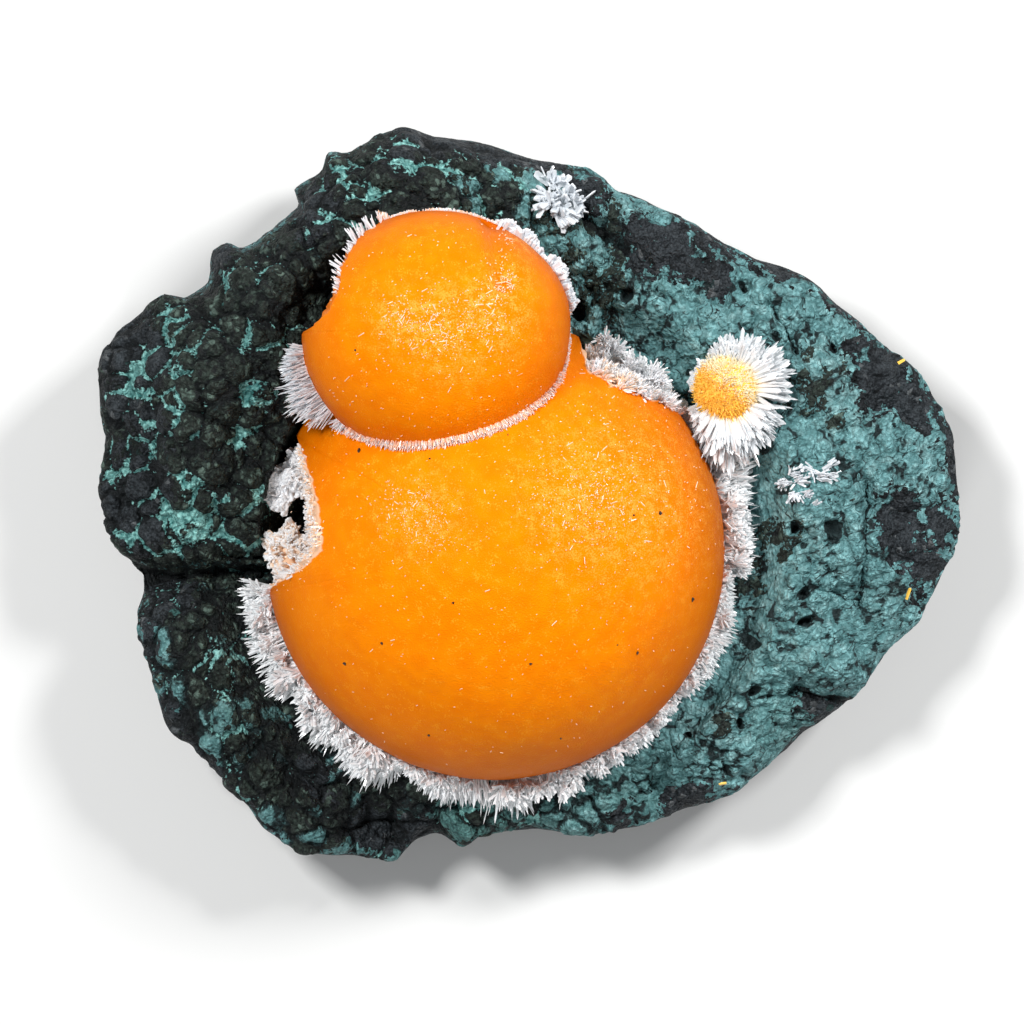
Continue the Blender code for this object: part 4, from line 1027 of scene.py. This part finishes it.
def make_collar():
    """Needles that start where the smaller dome's skin meets the large dome or the rock, and point outward.

    Probes out along each needle's bearing find the last place where the smaller dome is the higher one.
    """
    random = np.random.default_rng(9)
    count, bunches = 9000, 120
    angle, middle, which = bunched(random, 186, 517, bunches, count, 1.9)
    even = (angle > FAN_END - 2) & (angle < LINE_END)
    angle = np.where(even, random.uniform(FAN_END - 2, LINE_END, count), angle)
    middle = np.where(even, angle, middle)
    share_full = skin_share(np.mod(angle, 360), SMALL_EDGE)
    steps = np.linspace(0.5, 1, PROBES)[:, None] * share_full
    reach = np.array(SMALL_RADII[:2])
    direction = np.stack([np.cos(np.radians(angle)), np.sin(np.radians(angle))], -1)
    along_x = SMALL_CENTRE[0] + reach[0] * steps * direction[:, 0]
    along_y = SMALL_CENTRE[1] + reach[1] * steps * direction[:, 1]
    small = SMALL_CENTRE[2] + SMALL_RADII[2] * np.sqrt(np.clip(1 - steps**2, 0, 1))
    large = dome_level(along_x, along_y, LARGE_CENTRE, LARGE_RADII)
    showing = small > large + 0.05
    last = showing.cumsum(axis=0).argmax(axis=0)
    own = np.arange(count)
    edge_share, edge_level = steps[last, own], small[last, own]
    layer = random.uniform(0, 1, count)
    on_large = last < PROBES - 1
    out = edge_share - np.where(on_large, 0.012 + 0.03 * layer, 0.03)
    level = np.where(on_large, edge_level + 0.05 + 0.25 * layer, edge_level - 0.2 - 1.6 * (1 - layer))
    foot = np.column_stack([SMALL_CENTRE[:2] + reach * out[:, None] * direction, level])
    outward = np.degrees(np.arctan2(direction[:, 1] / reach[1], direction[:, 0] / reach[0]))
    spread = np.where(on_large, 2.0, 4.0)
    bearing = outward + (angle - middle) * spread + random.normal(0, 7, count)
    length = np.interp(angle, *np.array(COLLAR_REACHES).T) * random.uniform(0.45, 1.05, count)
    length = length * random.uniform(0.75, 1.1, bunches)[which] + 0.12
    tilt = np.where(on_large, random.normal(0, 16, count), random.normal(8, 13, count) + 10 * layer)
    tip = foot + towards(bearing, tilt) * length[:, None]
    tip[:, 2] = np.maximum(tip[:, 2], dome_level(tip[:, 0], tip[:, 1], LARGE_CENTRE, LARGE_RADII) + 0.06)
    fibres = angle > FIBRES_START
    blocky = ((angle > LINE_END) & (angle < BLOCKS_END)) | fibres
    silky = angle < FAN_END
    width = np.where(on_large & ~silky, 0.08, np.where(blocky, random.uniform(0.2, 0.6, count), 0.12))
    width = np.where(fibres, random.uniform(0.07, 0.2, count), width)
    few = random.uniform(0, 1, count) < np.where(fibres, 0.1, np.where(blocky, 0.4, 1.0))
    stain = np.where(silky | blocky, random.uniform(-0.4, 0.1, count), random.uniform(0.4, 1.1, count))
    twist = random.uniform(0, 3.1, few.sum())
    collar = needles(
        "collar_of_white_needles", foot[few], tip[few], width[few], 0.5, twist, ROSY,
        chance=random.uniform(0, 1, few.sum()) ** np.where(blocky[few], 1.4, 0.6), stain=stain[few],
    )
    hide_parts("upper_collar")


ROSY = crystal_material("white needles with rosy ends", (1.0, 0.6, 0.4), (0.8, 0.83, 0.87))
make_collar()

# The daisy
#
# A small thomsonite ball beside the large dome: a button of golden needle ends with white rays round it, like
# a daisy. It sits on the rock.

CORE_ROWS, CORE_COLUMNS = 26, 72
DAISY, RAY_START = (20.2, 14.0, 14.2), 2.1
# How far the rays reach: angle and length from the daisy's middle
DAISY_RAYS = (
    (-180, 3.6), (-150, 3.9), (-120, 5.8), (-95, 7.4), (-75, 7.6), (-45, 6.2), (-20, 6.3), (0, 6.3),
    (30, 6.2), (50, 5.6), (80, 5.2), (100, 4.4), (120, 3.8), (150, 3.6), (180, 3.6),
)


def make_core(name, centre, radii, floor_level, wobble, material, **attributes):
    """The solid middle of a crystal ball: an ellipsoid swelled by rounded lumps, with a level foot."""
    turn = np.linspace(0, 2 * math.pi, CORE_COLUMNS, endpoint=False)
    turn, lean = np.meshgrid(turn, np.radians(np.linspace(4, 130, CORE_ROWS)))
    rays = np.stack([np.cos(turn) * np.sin(lean), np.sin(turn) * np.sin(lean), np.cos(lean)], -1)
    first, _, _ = lumps(centre + rays * radii, 1.0, channel=701)
    rough = 1 + wobble * (np.sqrt(np.clip(1 - (first / 0.9) ** 2, 0, 1)) - 0.6)
    points = centre + rays * rough[..., None] * radii
    points[..., 2] = np.maximum(points[..., 2], floor_level)
    poles = np.array([[*centre[:2], points[0, :, 2].mean()], [*centre[:2], floor_level]])
    points = np.concatenate([points.reshape(-1, 3), poles])
    return piece(name, points, closed_net(CORE_ROWS, CORE_COLUMNS), material, **attributes)


def make_daisy():
    """A dome of short golden needle ends over a solid core, and bunches of blades that lean out round it."""
    random = np.random.default_rng(10)
    core = make_core(
        "daisy_core", np.array(DAISY), (2.86, 3.06, 3.12), 13.4, 0.06, GOLD, along=0.0, chance=0.7, stain=0.3
    )
    count = 6500
    bearing, tilt = random.uniform(-180, 180, count), np.degrees(np.arcsin(random.uniform(0.05, 1, count)))
    way = towards(bearing, tilt)
    aside = way + random.normal(0, 0.06, (count, 3))
    foot = DAISY + way * (2.5, 2.7, 2.75)
    tip = DAISY + aside * (2.92, 3.12, 3.2) * random.uniform(0.98, 1.04, (count, 1))
    lower_left = smooth_step(-way[:, 0] * 0.6 - way[:, 1] * 0.8, -0.75, 0.35)
    width, twist = random.uniform(0.07, 0.12, count), random.uniform(0, 3.1, count)
    button = needles(
        "daisy_needle_ends", foot, tip, width, 0.8, twist, GOLD, chance=random.uniform(0.9, 1, count),
        stain=-0.25 + 1.4 * lower_left + random.uniform(-0.15, 0.15, count),
    )
    count, bunches = 1500, 34
    bearing, middle, which = bunched(random, -180, 180, bunches, count, 4.0)
    layer = random.uniform(0, 1, count)
    start = towards(bearing, 0) * RAY_START
    reach = np.interp(bearing, *np.array(DAISY_RAYS).T)
    lift = 0.1 + 1.5 * layer * smooth_step(reach, 2.8, 5.8)
    foot = DAISY + start + np.array([0, 0, 1.0]) * lift[:, None]
    length = reach * random.uniform(0.72, 1.04, count) - RAY_START
    length = length * random.uniform(0.8, 1.08, bunches)[which] * (1.05 - 0.3 * layer)
    way = towards(bearing + (bearing - middle) * 1.6 + random.normal(0, 8, count), 4 + 28 * layer)
    tip = foot + way * np.maximum(length, 0.8)[:, None]
    width, twist = random.uniform(0.2, 0.6, count), random.uniform(0, 3.1, count)
    petals = needles(
        "daisy_rays", foot, tip, width, 0.3, twist, RAYS, chance=random.uniform(0, 1, count),
        stain=random.uniform(0.0, 0.35, count),
    )
    for part in (core, button, petals):
        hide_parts("daisy_tuft")


GOLD = crystal_material("golden needle ends", (1.0, 0.61, 0.09), (1.0, 0.88, 0.58), 0.35)
RAYS = crystal_material("daisy rays", (1.0, 0.76, 0.5), (0.8, 0.83, 0.85))
make_daisy()

# The small crystal groups
#
# Four groups of white blades that grew on the rock: two sprays in the notch at the left of the large dome, a
# grey blocky fan at the top and a few rods at the right.


def make_group(name, node, heads, loose, count, length, width, stain, seed, material, core=None):
    """Tufts of blades, each head a foot in millimetres, a bearing and a tilt, over a lumpy solid core. A head
    whose foot is level 0 stands on the rock instead."""
    random = np.random.default_rng(seed)
    heads = np.repeat(np.array(heads, dtype=float), 3, axis=0)
    heads += random.normal(0, 1, heads.shape) * (0.3, 0.3, 0.0, 25, 15)
    heads[:, 2] = np.where(heads[:, 2] > 0, heads[:, 2], rock_level(heads[:, 0], heads[:, 1]) + 0.05)
    count = count // 3
    bearing, tilt = heads[:, 3:].T
    foot, tip, wide, chance = tufts(random, heads[:, :3], bearing, tilt, loose, count, length, width)
    blades = needles(
        name, foot, tip, wide, 0.35, random.uniform(0, 3.1, len(foot)), material,
        chance=chance**0.5, stain=random.uniform(-0.4, 0.1, len(foot)) + stain,
    )
    made = [blades]
    if core is not None:
        middle, radii = core
        shades = {"along": 0.4, "chance": 0.9, "stain": stain}
        foot_level = middle[2] - 0.6 * radii[2]
        made.append(make_core(name + "_core", np.array(middle), radii, foot_level, 0.5, material, **shades))
    for part in made:
        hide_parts(node)


def make_yellow_grains():
    """Slivers of a yellow mineral in the rock, each lying on it at a bearing."""
    places = [(35.2, 16.3, 0.7, 30), (35.9, -4.3, 1.1, 70), (19.6, -20.5, 0.7, 10), (17.3, 14.4, 0.5, 60)]
    places = np.array(places)
    foot = np.column_stack([places[:, :2], rock_level(places[:, 0], places[:, 1]) + 0.05])
    tip = foot + towards(places[:, 3], 12) * places[:, 2:3]
    grains = needles(
        "yellow_grains", foot, tip, np.full(4, 0.28), 0.6, np.arange(4.0), GOLD, chance=0.6, stain=1.0
    )
    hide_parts("basalt_matrix")


UPPER_HEADS = (
    (-18.6, 6.2, 13.4, 160, 40), (-17.4, 7.3, 13.6, 110, 45), (-16.9, 5.6, 14.0, 150, 70),
    (-18.1, 4.7, 13.4, 205, 40), (-17.4, 6.3, 14.4, 140, 80), (-19.2, 5.4, 13.0, 180, 35),
)
LOWER_HEADS = (
    (-18.6, 0.5, 13.0, 160, 40), (-18.0, -1.3, 13.0, 215, 40), (-19.1, -0.5, 12.6, 185, 35),
    (-17.2, 0.0, 13.9, 180, 80), (-17.6, 1.2, 13.3, 140, 55),
)
TOP_HEADS = (
    (5.2, 31.6, 0, 100, 40), (6.4, 30.6, 0, 20, 40), (4.6, 30.6, 0, 190, 45), (5.6, 29.8, 0, -80, 45),
    (6.8, 29.6, 0, -40, 35), (5.6, 30.8, 0, 60, 80),
)
RIGHT_HEADS = (
    (25.4, 5.7, 0, 215, 12), (26.1, 6.3, 0, 40, 15), (26.9, 6.8, 0, 200, 12), (27.7, 6.7, 0, -20, 15),
    (28.6, 6.6, 0, 10, 12), (29.4, 7.0, 0, 35, 12), (26.0, 4.9, 0, -60, 40), (26.8, 4.7, 0, 20, 40),
)
GREY = crystal_material("clear grey blades", (0.7, 0.74, 0.78), (0.74, 0.78, 0.82), 0.1)
UPPER_CORE = ((-18.0, 6.0, 12.7), (1.3, 1.6, 1.3))
LOWER_CORE = ((-18.0, -0.2, 12.4), (1.3, 1.6, 1.2))
# Name, node, heads, looseness, blades a head, length, widths, stain, seed and material, then a core's place
make_group(
    "upper_left_spray", "left_upper_spray", UPPER_HEADS, 0.4, 100, 1.5, (0.35, 0.8), -0.2, 21, PEACH,
    core=UPPER_CORE,
)
make_group(
    "lower_left_spray", "left_lower_spray", LOWER_HEADS, 0.4, 100, 1.5, (0.3, 0.7), 0.8, 22, PEACH,
    core=LOWER_CORE,
)
make_group("top_blocks", "top_crystal_patch", TOP_HEADS, 0.5, 20, 1.9, (0.3, 0.8), -0.5, 23, GREY)
make_group("right_rods", "right_crystal_patch", RIGHT_HEADS, 0.35, 21, 1.0, (0.1, 0.26), -0.5, 24, GREY)
make_yellow_grains()

# Lights, floor and camera
#
# The specimen lies on a plain pale table under three soft lamps, and the camera looks straight down on it.

TABLE_WIDTH, LAMP_DISTANCE = 3.0, 0.55
# Camera to the middle of the specimen's height, and width of the view there
VIEW_DISTANCE, VIEW_WIDTH = 0.586, 0.0891


def make_stage():
    """A plain square table top at the specimen's foot."""
    pale, _, shader, _ = new_material("pale table")
    shader.inputs["Base Color"].default_value = (0.78, 0.78, 0.77, 1.0)
    shader.inputs["Roughness"].default_value = 0.8
    half = TABLE_WIDTH / 2
    mesh = bpy.data.meshes.new("table")
    corners = [(-half, -half, 0), (half, -half, 0), (half, half, 0), (-half, half, 0)]
    mesh.from_pydata(corners, [], [(0, 1, 2, 3)])
    mesh.materials.append(pale)
    table = bpy.data.objects.new("table", mesh)
    bpy.context.scene.collection.objects.link(table)


def make_lamp(name, direction, power, size):
    """A square soft lamp of a power in watts and a width in metres, turned to face the specimen."""
    lamp = bpy.data.lights.new(name, "AREA")
    lamp.energy = power
    lamp.size = size
    made = bpy.data.objects.new(name, lamp)
    away = np.array(direction) / np.linalg.norm(direction)
    made.location = away * LAMP_DISTANCE
    yaw, lean = math.atan2(away[1], away[0]), math.acos(away[2])
    made.rotation_euler = (0.0, lean, yaw)
    bpy.context.scene.collection.objects.link(made)


make_stage()
make_lamp("left lamp", (-0.42, 0.34, 0.84), 2.2, 0.11)
make_lamp("right lamp", (0.58, 0.46, 0.67), 2.3, 0.11)
make_lamp("near lamp", (-0.1, -0.62, 0.78), 0.65, 0.14)
world = bpy.data.worlds.new("soft room")
world.use_nodes = True
world.node_tree.nodes["Background"].inputs["Color"].default_value = (0.9, 0.95, 1.0, 1.0)
world.node_tree.nodes["Background"].inputs["Strength"].default_value = 0.17
bpy.context.scene.world = world
bpy.context.scene.view_settings.view_transform = "Standard"

camera_data = bpy.data.cameras.new("camera")
camera_data.lens = camera_data.sensor_width * VIEW_DISTANCE / VIEW_WIDTH
camera = bpy.data.objects.new("camera", camera_data)
camera.location = (0.00148, 0.00331, 0.6)
bpy.context.scene.collection.objects.link(camera)
bpy.context.scene.camera = camera
